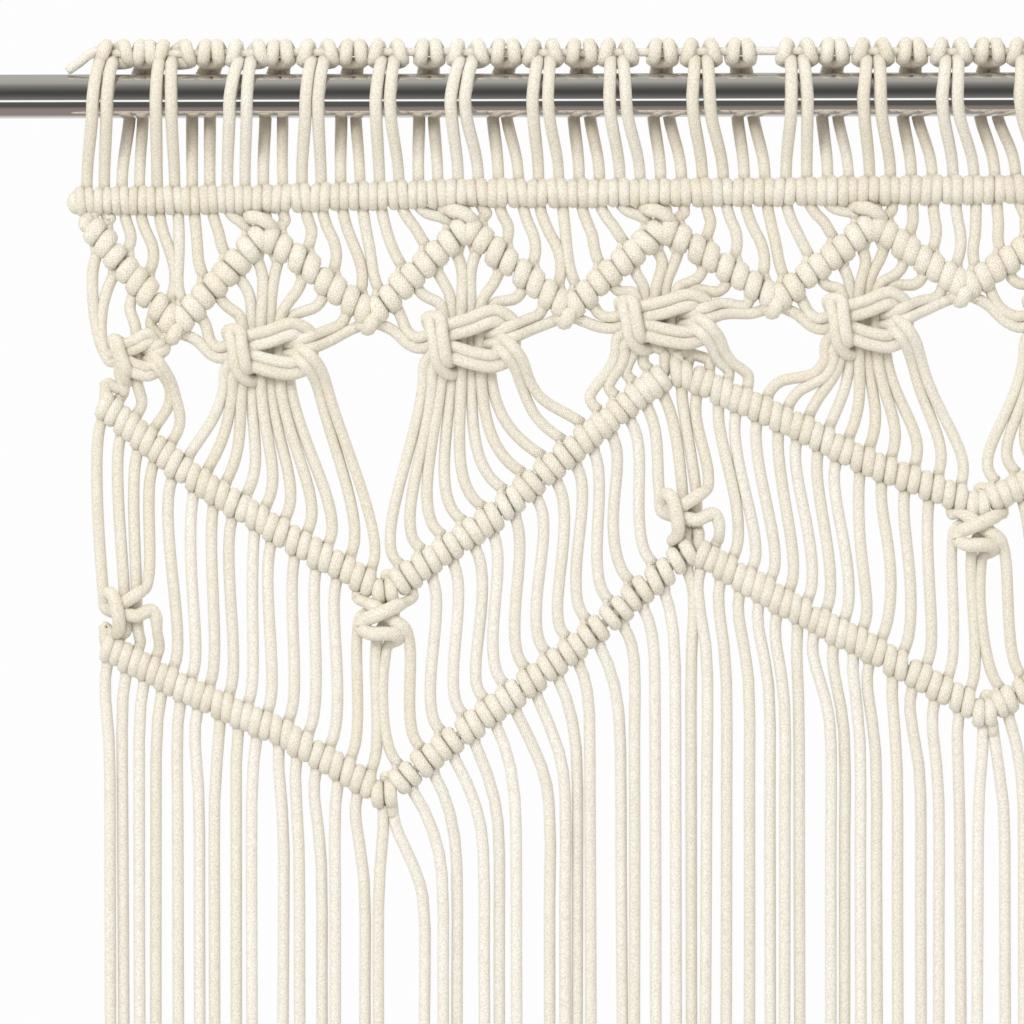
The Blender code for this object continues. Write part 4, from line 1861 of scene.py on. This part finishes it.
@dataclass(kw_only=True)
class SmallZigzag(Zigzag):
    """The small zigzag, whose carrying cords cross over its peaks as well.

    Attributes:
        valley_drop: from a valley's point down to its crossing.
        cover: radii up and out of the wrap round a crossing, and half its width.
        cover_turns: where the wrap starts, ends and how it is stepped, in degrees.
        cover_shifts: how far it lies to the right at its top and at its bottom.
        cross_steps: right, back and up from a crossing to a carrying cord's last bends.
        cross_out: the same to where it leaves, and its way there.
        fall_sway: middle and spread of the sideways wandering of the cords above.
        fall_bow: how far those cords bow to the back.
        fall_turn: how much they keep a row's heading where they leave it, and how much
            they turn to the next row; the other way round where they come in.
    """

    name: str = "small_zigzag_hitches"
    stands_for: tuple[str, ...] = ("small_zigzag",)
    part: Optional[Row] = Row.SMALL
    hitch: Hitch = Hitch(3.3, widest=3.0, lead=2.2)
    hitches: int = 4
    span: int = 5
    finish: float = 0.52
    gather: float = 0.5
    peak_radius: float = 2.5
    rightward: ArmManner = ArmManner(
        18.0, -0.4, 0.0, 0.45, 0.0,
        PeakWay(
            -1, (-5.4, -2.0, 6.1), (0.93, -0.2, -0.3),
            ((-1.8, -3.6, 5.4), (1.2, -3.4, 3.8), (2.9, -0.8, 1.8)),
        ),
        PeakWay(0, (-0.4, -0.6, 3.4), (-0.5, 0.0, -0.85), ((-1.7, -1.2, 0.4),), 2.0),
    )  # fmt: skip
    leftward: ArmManner = ArmManner(
        6.0, -0.4, 0.0, 0.45, 0.0,
        PeakWay(-1, (0.4, 1.6, 4.4), (-0.4, 0.0, -0.9), (), 3.0),
        PeakWay(0, (0.4, -0.6, 3.4), (0.5, 0.0, -0.85), ((1.7, -1.2, 0.4),), 2.0),
    )  # fmt: skip
    valley_drop: float = 2.4
    cover: Triple = (3.0, 3.6, 2.7)
    cover_turns: Triple = (-150.0, -391.0, -30.0)
    cover_shifts: tuple[float, float] = (1.5, -1.5)
    cross_steps: tuple[Triple, Triple] = ((-2.6, 0.7, 1.4), (1.6, 0.7, -0.4))
    cross_out: tuple[Triple, Triple] = ((5.2, 0.8, -1.6), (0.93, 0.0, -0.36))
    fall_sway: tuple[float, float] = (0.8, 0.35)
    fall_bow: float = -0.5
    fall_turn: tuple[float, float] = (0.6, 0.9)

    def _cross(self, arm: Arm, valley: np.ndarray, slot: int) -> tuple[Lead, np.ndarray]:
        """Crosses a carrying cord over its neighbour, on to the next large knot.

        Args:
            arm: the arm.
            valley: the valley's point.
            slot: the cord's number below the zigzag.

        Returns:
            Where the cord leaves, and its last points.
        """
        hand = arm.fall.value
        low = valley + DOWN * self.valley_drop
        if arm.fall is Fall.LEFTWARD:
            up, out, wide = self.cover
            turns = np.radians(np.arange(*self.cover_turns))
            shifts = np.interp(turns, np.radians((-360.0, -180.0)), self.cover_shifts)
            steps = zip(up * np.cos(turns), out * np.sin(turns), shifts)
            wrap = np.array([low + UP * a + FACE * b + RIGHT * c for a, b, c in steps])
            self.mesh.add(Strand(wrap, self.shades[slot], wide, deep=2.0, side=RIGHT))
        bends = [low + (hand * x, hand * y, z) for x, y, z in self.cross_steps]
        out, heading = (np.array((hand * x, y, z)) for x, y, z in self.cross_out)
        leave = Lead(low + out, unit(heading))
        return leave, np.vstack((*bends, leave.point))

    def fall_from(self, bar: TiedRow, tied: TiedRow) -> None:
        """Lets the cords fall from the bar.

        Args:
            bar: where they leave the bar.
            tied: where they come into the zigzag.
        """
        for cord in range(CORDS):
            sway = self.rng.normal(*self.fall_sway)
            start, end = bar.leave[cord], tied.enter[cord]
            onward = unit(end.point - start.point)
            less, more = self.fall_turn
            start = Lead(start.point, unit(less * start.heading + more * onward))
            end = Lead(end.point, unit(more * end.heading + less * onward))
            line = bridge(start, end, arrive=9.0, sway=sway, bow=self.fall_bow)
            self.mesh.add(Strand(line, self.shades[cord]))


RIGHT_PEAK = PeakWay(0, (2.2, -0.4, 5.6), (0.25, 0.0, -1.0), (), 3.4, 0.6)
LEFT_PEAK = PeakWay(0, (-2.2, 0.4, 5.6), (-0.25, 0.0, -1.0), (), 3.4, 0.6)


@dataclass(kw_only=True)
class UpperZigzag(Zigzag):
    """The upper large zigzag."""

    name: str = "upper_zigzag_hitches"
    stands_for: tuple[str, ...] = ("upper_zigzag",)
    part: Optional[Row] = Row.UPPER
    rightward: ArmManner = ArmManner(16.0, 0.1, 0.1, 0.55, 0.0, RIGHT_PEAK)
    leftward: ArmManner = ArmManner(5.0, -0.2, -0.2, 0.9, 0.75, LEFT_PEAK)


@dataclass(kw_only=True)
class LowerZigzag(Zigzag):
    """The lower large zigzag."""

    name: str = "lower_zigzag_hitches"
    stands_for: tuple[str, ...] = ("lower_zigzag_fringe",)
    part: Optional[Row] = Row.LOWER
    rightward: ArmManner = ArmManner(16.0, 0.1, 0.1, 0.75, 0.0, RIGHT_PEAK)
    leftward: ArmManner = ArmManner(5.0, -0.2, -0.2, 0.45, 0.35, LEFT_PEAK)


# -------------------- square knots
@dataclass(frozen=True)
class SquareKnot:
    """A square knot: a pair of working cords at each hand, tied round filling cords.

    Each path is in shares of the knot's width and height, then depth.

    Attributes:
        knot: its place and size.
        depth: scale of the paths' depths.
        apart: distance between the two cords of a working pair.
        radius: of each working cord.
        overlap: how much closer a pair's cords lie where they run upright, as a share.
        lean: how far the upright loop leans over the whole height.
        ease: how much wider than its cords the paths lie.
        shift: how far the paths' middle lies to the left of the knot's.
        tuck: how much deeper the inner cord of a pair lies, as a share of their distance.
        reaches: how far the working cords keep their headings.
        onward: how much they turn to the row below as they leave, and how much down.
        plumb: how far up and down from its middle the filling cords run straight, as a
            share of the height.
        splay: how much the filling cords lean outwards, above and below.
        fan: how far the filling cords keep their headings.
    """

    knot: LargeKnot
    depth: float
    apart: float
    radius: float
    overlap: float
    lean: float
    ease: float = 1.0
    shift: float = 0.6
    tuck: float = 0.3
    reaches: Reaches = Reaches(7.0, 8.0, 22.0, 12.0)
    onward: tuple[float, float] = (0.6, 0.5)
    plumb: float = 0.46
    splay: tuple[float, float] = (0.25, 0.35)
    fan: Reaches = Reaches(7.0, 8.0, 22.0, 13.0)

    LEFT_PATH: ClassVar[tuple[Triple, ...]] = (
        (-0.60, -0.04, -1.0), (-0.42, 0.02, -2.0), (-0.24, 0.14, -4.2), (0.05, 0.25, -5.2),
        (0.36, 0.38, -4.4), (0.53, 0.27, -1.5), (0.55, 0.0, 0.0), (0.50, -0.24, -2.0),
        (0.36, -0.33, -4.4), (0.05, -0.28, -5.4), (-0.22, -0.19, -4.4), (-0.38, -0.28, -2.0),
        (-0.47, -0.40, -1.0), (-0.50, -0.66, 0.0),
    )  # fmt: skip
    RIGHT_PATH: ClassVar[tuple[Triple, ...]] = (
        (0.74, 0.22, -1.0), (0.55, 0.12, -4.2), (0.36, 0.04, -2.6), (0.16, 0.04, 3.5),
        (-0.16, 0.12, 4.8), (-0.37, 0.24, 2.0), (-0.42, 0.36, -2.5), (-0.38, 0.33, -6.0),
        (-0.35, 0.04, -7.8), (-0.31, -0.34, -6.2), (-0.22, -0.45, -2.0), (-0.05, -0.34, 3.5),
        (0.16, -0.16, 4.8), (0.34, -0.04, 1.0), (0.42, -0.05, -3.6), (0.53, -0.17, -6.6),
        (0.64, -0.38, -4.4), (0.71, -0.66, -1.0),
    )  # fmt: skip

    def worker(self, hand: int, side: int, start: Lead, end: Lead, tint: float) -> Strand:
        """One working cord, from the row above to the row below.

        Args:
            hand: -1 for the left path, 1 for the right one.
            side: -1 or 1, the side of the path's middle where it lies.
            start: where it comes from.
            end: where it goes.
            tint: its shade.

        Returns:
            The strand.
        """
        across, ups, depths = np.array(self.LEFT_PATH if hand < 0 else self.RIGHT_PATH).T
        stretch = self.knot.width - self.apart - 2 * self.radius + self.ease
        left = self.knot.across - self.shift - CURTAIN_WIDTH / 2
        drops = self.knot.drop - ups * self.knot.height
        line = np.column_stack((left + across * stretch, depths * self.depth, -drops))
        ways = units(np.gradient(line, axis=0) * (1, 0, 1))
        upright = np.abs(ways[:, 2])
        aside = side * self.apart / 2
        line[:, 0] -= ways[:, 2] * aside * (1 - self.overlap * upright)
        line[:, 0] -= self.lean * ups * upright**2
        line[:, 1] -= self.tuck * aside * upright
        line[:, 2] += ways[:, 0] * aside
        return through_knot(start, line, end, tint, self.radius, self.reaches, *self.onward)

    def filler(self, share: float, depth: float, start: Lead, end: Lead, tint: float) -> Strand:
        """One filling cord, straight down through the knot.

        Args:
            share: its place across, as a share of the width.
            depth: its place through.
            start: where it comes from.
            end: where it goes.
            tint: its shade.

        Returns:
            The strand.
        """
        across = self.knot.across + share * self.knot.width
        rise = self.plumb * self.knot.height
        above, below = self.splay
        top = Lead(place(across, depth, self.knot.drop - rise), unit((-share * above, 0, -1.0)))
        foot = Lead(place(across, depth, self.knot.drop + rise), unit((share * below, 0, -1.0)))
        coming = bridge(start, top, self.fan.above, self.fan.into)[:-1]
        going = bridge(foot, end, self.fan.out, self.fan.below)[1:]
        return Strand(np.vstack((coming, going)), tint, step=4.0)


@dataclass(kw_only=True)
class LargeKnots(CurtainPart):
    """The row of large square knots, with the cords that fan in and spread out.

    Attributes:
        cords: how many a half knot and a whole one have.
        whole: a whole knot's depth, apart, radius, overlap and lean.
        half: the same for a half knot at an edge.
        fillers: from the first filling cord's share of the width, over this much.
        depths: of the filling cords by turns.
    """

    name: str = "large_square_knots"
    stands_for: tuple[str, ...] = ("large_knot",)
    cords: tuple[int, int] = (5, 10)
    whole: tuple[float, ...] = (1.0, 4.1, 2.3, 0.2, 1.0)
    half: tuple[float, ...] = (0.85, 3.2, 2.1, 0.7, 4.5)
    fillers: tuple[float, float] = (-0.25, 0.47)
    depths: tuple[float, float] = (0.2, 1.8)

    def tie(self, above: TiedRow, below: TiedRow) -> None:
        """Ties every large knot between two rows.

        Args:
            above: where the cords leave the small zigzag.
            below: where they come into the upper zigzag.
        """
        for knot in both_halves(LEFT_HALF_LARGE_KNOTS):
            shape = SquareKnot(knot, *(self.whole if knot.whole else self.half))
            reach = self.cords[knot.whole] / 2 - 0.5
            slots = range(int(knot.cord - reach), int(knot.cord + reach) + 1)
            ways = [(above.leave[slot], below.enter[slot], self.shades[slot]) for slot in slots]
            for hand, pair in ((-1, ways[:2]), (1, ways[-2:])):
                for side, way in zip((-1, 1), pair):
                    self.mesh.add(shape.worker(hand, side, *way))
            inner = ways[2:-2]
            start, spread = self.fillers
            for order, way in enumerate(inner):
                share = start + spread * order / (len(inner) - 1) if len(inner) > 1 else 0.0
                self.mesh.add(shape.filler(share, self.depths[order % 2], *way))


@dataclass(frozen=True)
class SmallKnotManner:
    """How a small square knot is tied.

    Attributes:
        paths: the ways of its four cords.
        width: of the paths.
        squeeze: scale of their height.
        shift: how far the paths' middle lies below the knot's.
        radius: of the cords in the knot.
    """

    paths: tuple[KnotPath, ...]
    width: float
    squeeze: float
    shift: float
    radius: float


@dataclass(kw_only=True)
class MiddleCords(CurtainPart):
    """The free cords between the two large zigzags, and the small square knots on them.

    Attributes:
        under_peak: how the knots under the upper zigzag's peaks are tied.
        under_valley: how those under its valleys are tied.
        reaches: how far the knots' cords keep their headings.
        sway: spread of the free cords' sideways wandering.
        bow: middle and spread of their bow to the back.
    """

    name: str = "middle_cords_and_small_knots"
    stands_for: tuple[str, ...] = ("small_knot",)
    under_peak: SmallKnotManner = SmallKnotManner(UNDER_PEAK_PATHS, 21.0, 1.0, 3.2, 2.5)
    under_valley: SmallKnotManner = SmallKnotManner(UNDER_VALLEY_PATHS, 23.0, 0.86, -4.0, 2.7)
    reaches: Reaches = Reaches(10.0, 9.0, 9.0, 9.0)
    sway: float = 0.9
    bow: tuple[float, float] = (-0.8, 0.6)

    def _knot(self, knot: SmallKnot, above: TiedRow, below: TiedRow) -> None:
        """Ties one small knot.

        Args:
            knot: its place and size.
            above: where the cords leave the row above.
            below: where they come into the row below.
        """
        manner = self.under_valley if knot.under_valley else self.under_peak
        scale = knot.width / manner.width
        middle = (knot.top + knot.bottom) / 2 + manner.shift
        for path in manner.paths:
            body = np.array(
                [
                    place(knot.across + x * scale, y, middle - up * scale * manner.squeeze)
                    for x, up, y in path.points
                ]
            )
            slot = knot.first + path.start
            start, end = above.leave[slot], below.enter[knot.first + path.end]
            self.mesh.add(
                through_knot(start, body, end, self.shades[slot], manner.radius, self.reaches)
            )

    def tie(self, above: TiedRow, below: TiedRow) -> None:
        """Hangs every cord between two rows.

        Args:
            above: where the cords leave the upper zigzag.
            below: where they come into the lower zigzag.
        """
        knots = both_halves(LEFT_HALF_SMALL_KNOTS)
        for knot in knots:
            self._knot(knot, above, below)
        taken = {knot.first + step for knot in knots for step in range(4)}
        for cord in (cord for cord in range(CORDS) if cord not in taken):
            sway, bow = self.rng.normal(0, self.sway), self.rng.normal(*self.bow)
            start, end = above.leave[cord], below.enter[cord]
            line = bridge(start, end, reach=14.0, arrive=11.0, sway=sway, bow=bow)
            # painted light: the free cords are paler than in the knots
            self.mesh.add(Strand(line, self.shades.painted_lit_tint(cord, base=0.45)))


@dataclass(kw_only=True)
class Fringe(CurtainPart):
    """The long free cords below the lower zigzag, trimmed a little unevenly.

    Attributes:
        depth: the cords' middle depth.
        stagger: how far before and behind it they hang by turns.
        uneven: spread of the random differences from that.
        settle: from the zigzag down to where a cord hangs plumb.
        first: from there down to its next point.
        step: between two points of a hanging cord.
        last: the least distance from one of those to the hem.
        full_sway: length over which a cord's sway grows.
        waves: size and length of its slow wave, its quick one and the one to the back.
        hang: past the table, how far right of the zigzag's cords they hang, and size and
            pace of the differences from cord to cord.
        hem_wander: difference between the longest and the shortest.
        hem_pace: how fast that comes and goes from cord to cord.
        length: a long fringe cord's length, in metres; not used.
    """

    name: str = "fringe"
    stands_for: tuple[str, ...] = ("lower_zigzag_fringe",)
    part: Optional[Row] = Row.LOWER
    depth: float = 1.2
    stagger: float = 1.1
    uneven: float = 0.3
    settle: float = 36.0
    first: float = 35.0
    step: float = 45.0
    last: float = 20.0
    full_sway: float = 500.0
    waves: tuple[tuple[float, float], ...] = ((1.5, 210.0), (0.8, 90.0), (1.2, 260.0))
    hang: Triple = (2.0, 1.4, 2.1)
    hem_wander: float = 6.0
    hem_pace: float = 2.3
    length: float = 1.82

    def hang_at(self, cord: int) -> float:
        """Where a cord hangs.

        Args:
            cord: its number.

        Returns:
            Its place across.
        """
        if cord > LAST_CORD // 2:
            return CURTAIN_WIDTH - self.hang_at(LAST_CORD - cord)
        if cord < len(LEFT_FRINGE):
            return LEFT_FRINGE[cord]
        right, size, pace = self.hang
        above = float(self.row.point(cord)[0]) + CURTAIN_WIDTH / 2
        return above + right + size * math.sin(pace * cord)

    def tie(self, above: TiedRow) -> None:
        """Hangs every cord of the fringe.

        Args:
            above: where the cords leave the lower zigzag.
        """
        for cord in range(CORDS):
            start, hang = above.leave[cord], self.hang_at(cord)
            depth = self.depth + self.stagger * (1 if cord % 2 else -1)
            depth += self.rng.normal(0, self.uneven)
            settled = self.settle - float(start.point[2])
            hem = CURTAIN_DROP - self.hem_wander / 2 * (1 + math.sin(self.hem_pace * cord))
            plumb = Lead(place(hang, depth, settled), DOWN)
            first = bridge(start, plumb, reach=10.0, arrive=16.0)[:-1]
            draw = self.rng.normal(0, 1.0, 4)
            slow, quick, back = self.waves
            rest = []
            for drop in np.arange(settled + self.first, hem - self.last, self.step):
                reach = drop - settled
                grow = min(1.0, reach / self.full_sway)
                sway = slow[0] * draw[0] * math.sin(reach / slow[1] + 2 * draw[1])
                sway += quick[0] * draw[2] * math.sin(reach / quick[1] + draw[3])
                bow = back[0] * draw[1] * math.sin(reach / back[1] + draw[0])
                rest.append(place(hang + grow * sway, depth + grow * bow, drop))
            end = (*rest[-1][:2], -hem)
            line = np.vstack((first, rest, end))
            # painted light: the fringe cords are paler than in the knots
            tint = self.shades.painted_lit_tint(cord, base=0.5)
            self.mesh.add(Strand(line, tint, step=24.0, turn=0.2, cut=True))

    def declare(self, piece: Piece, others: Sequence[Piece]) -> None:
        """Does nothing; the curtain's flat size is not stated.

        Args:
            piece: the finished fringe; not used.
            others: the knotted pieces above it; not used.
        """


# -------------------- studio
class Lamp(NamedTuple):
    """A square area light, in metres and watts."""

    name: str
    stand: Triple
    size: float
    power: float

    def hang(self, target: Triple, colour: Triple) -> None:
        """Hangs the lamp and turns it to a target.

        Args:
            target: the point it shines at.
            colour: of its light.
        """
        light = bpy.data.lights.new(self.name, "AREA")
        light.energy, light.size, light.color = self.power, self.size, colour
        made = put(self.name, light)
        made.location = self.stand
        x, y, z = np.array(target) - self.stand
        pitch = math.atan2(z, math.hypot(x, y)) + math.pi / 2
        made.rotation_euler = (pitch, 0.0, math.atan2(y, x) - math.pi / 2)


@dataclass(frozen=True)
class Studio:
    """Floor, pale air, lamps, reflector for the rod, and the camera, in metres.

    Attributes:
        lens: the camera's focal length in millimetres.
        film: its film's width in millimetres.
        far: from the camera to the farthest thing it takes.
        eye: the camera's place.
        roll: how far it leans, in degrees.
        floor_height: of the floor.
        floor_reach: from its middle to its sides.
        tunnel: the reflector's radius, half its length and its number of facets.
        sky: the background's level.
        air: colour and level of the soft light all round.
        lamps: the lamps.
        target: where they shine.
        glow: colour of their light.
    """

    lens: float = 290.0
    film: float = 36.0
    far: float = 100.0
    eye: Triple = (-0.2766, -3.0, -0.1515)
    roll: float = 0.134
    floor_height: float = -2.062
    floor_reach: float = 12.0
    tunnel: tuple[float, float, int] = (0.9, 3.0, 72)
    sky: float = 0.985
    air: tuple[float, float, float, float] = (1.0, 0.99, 0.97, 0.97)
    lamps: tuple[Lamp, ...] = (
        Lamp("key_light", (-1.55, -2.7, 1.3), 1.1, 51.0),
        Lamp("rim_light", (2.4, 2.4, 1.2), 2.4, 16.0),
    )
    target: Triple = (-0.25, 0.0, -0.2)
    glow: Triple = (1.0, 0.985, 0.96)

    def floor(self) -> None:
        """Lays the floor."""
        reach = self.floor_reach
        sides = ((-reach, -reach), (reach, -reach), (reach, reach), (-reach, reach))
        points = [(*side, self.floor_height) for side in sides]
        mesh = mesh_of("studio_floor", points, [(0, 1, 2, 3)], FloorFinish().make())
        put("studio_floor", mesh)

    def reflector(self) -> None:
        """Bends one long sheet round the rod, seen in its gloss only."""
        radius, reach, count = self.tunnel
        angles = [TURN * i / count for i in range(count)]
        points = [
            (x, radius * math.cos(angle), radius * math.sin(angle))
            for angle in angles
            for x in (-reach, reach)
        ]
        faces = [
            tuple((2 * i + step) % (2 * count) for step in (0, 1, 3, 2)) for i in range(count)
        ]
        made = put("reflector", mesh_of("reflector", points, faces, ReflectorFinish().make()))
        for kind in ("camera", "diffuse", "shadow", "transmission", "volume_scatter"):
            setattr(made, f"visible_{kind}", False)

    def lights(self) -> None:
        """Sets the pale surroundings and hangs the lamps."""
        world = bpy.data.worlds.new("studio_air")
        bpy.context.scene.world = world
        board = NodeBoard(world)
        board.tree.nodes.clear()
        mixer = board.node("MixShader")
        *colour, level = self.air
        looks = (((*colour, 1.0), level), ((self.sky,) * 3 + (1.0,), 1.0))
        board.feed(mixer.inputs[0], board.node("LightPath").outputs["Is Camera Ray"])
        for number, (shown, strength) in enumerate(looks, 1):
            sky = board.node("Background")
            board.feed(sky.inputs["Color"], shown)
            board.feed(sky.inputs["Strength"], strength)
            board.feed(mixer.inputs[number], sky.outputs[0])
        board.feed(board.node("OutputWorld").inputs["Surface"], mixer.outputs[0])
        for lamp in self.lamps:
            lamp.hang(self.target, self.glow)

    def camera(self) -> None:
        """Sets the camera up square to the curtain."""
        data = bpy.data.cameras.new("studio_camera")
        data.lens, data.sensor_width, data.clip_end = self.lens, self.film, self.far
        made = put("studio_camera", data)
        made.location = self.eye
        made.rotation_euler = (math.pi / 2, math.radians(self.roll), 0.0)
        bpy.context.scene.camera = made

    def build(self) -> None:
        """Sets up the whole studio."""
        self.camera()
        self.floor()
        self.reflector()
        self.lights()
        bpy.context.scene.view_settings.view_transform = "Standard"
        bpy.context.scene.view_settings.look = "None"


def main() -> None:
    """Builds the studio, the rod and the curtain from the top down."""
    logging.basicConfig(level=logging.INFO, format="%(name)s: %(message)s")
    Studio().build()
    Rod().build()
    cord = {"shades": CordShades(), "cotton": CottonFinish().make()}
    bar, header, small = HitchedBar(**cord), Header(**cord), SmallZigzag(**cord)
    upper, knots, lower = UpperZigzag(**cord), LargeKnots(**cord), LowerZigzag(**cord)
    middle, fringe = MiddleCords(**cord), Fringe(**cord)
    on_bar = bar.tie()
    header.tie(on_bar)
    on_small = small.tie()
    small.fall_from(on_bar, on_small)
    on_upper = upper.tie()
    knots.tie(on_small, on_upper)
    on_lower = lower.tie()
    middle.tie(on_upper, on_lower)
    fringe.tie(on_lower)
    others = [part.dress() for part in (bar, header, small, knots, upper, middle, lower)]
    fringe.declare(fringe.dress(), others)


if __name__ == "__main__":
    main()
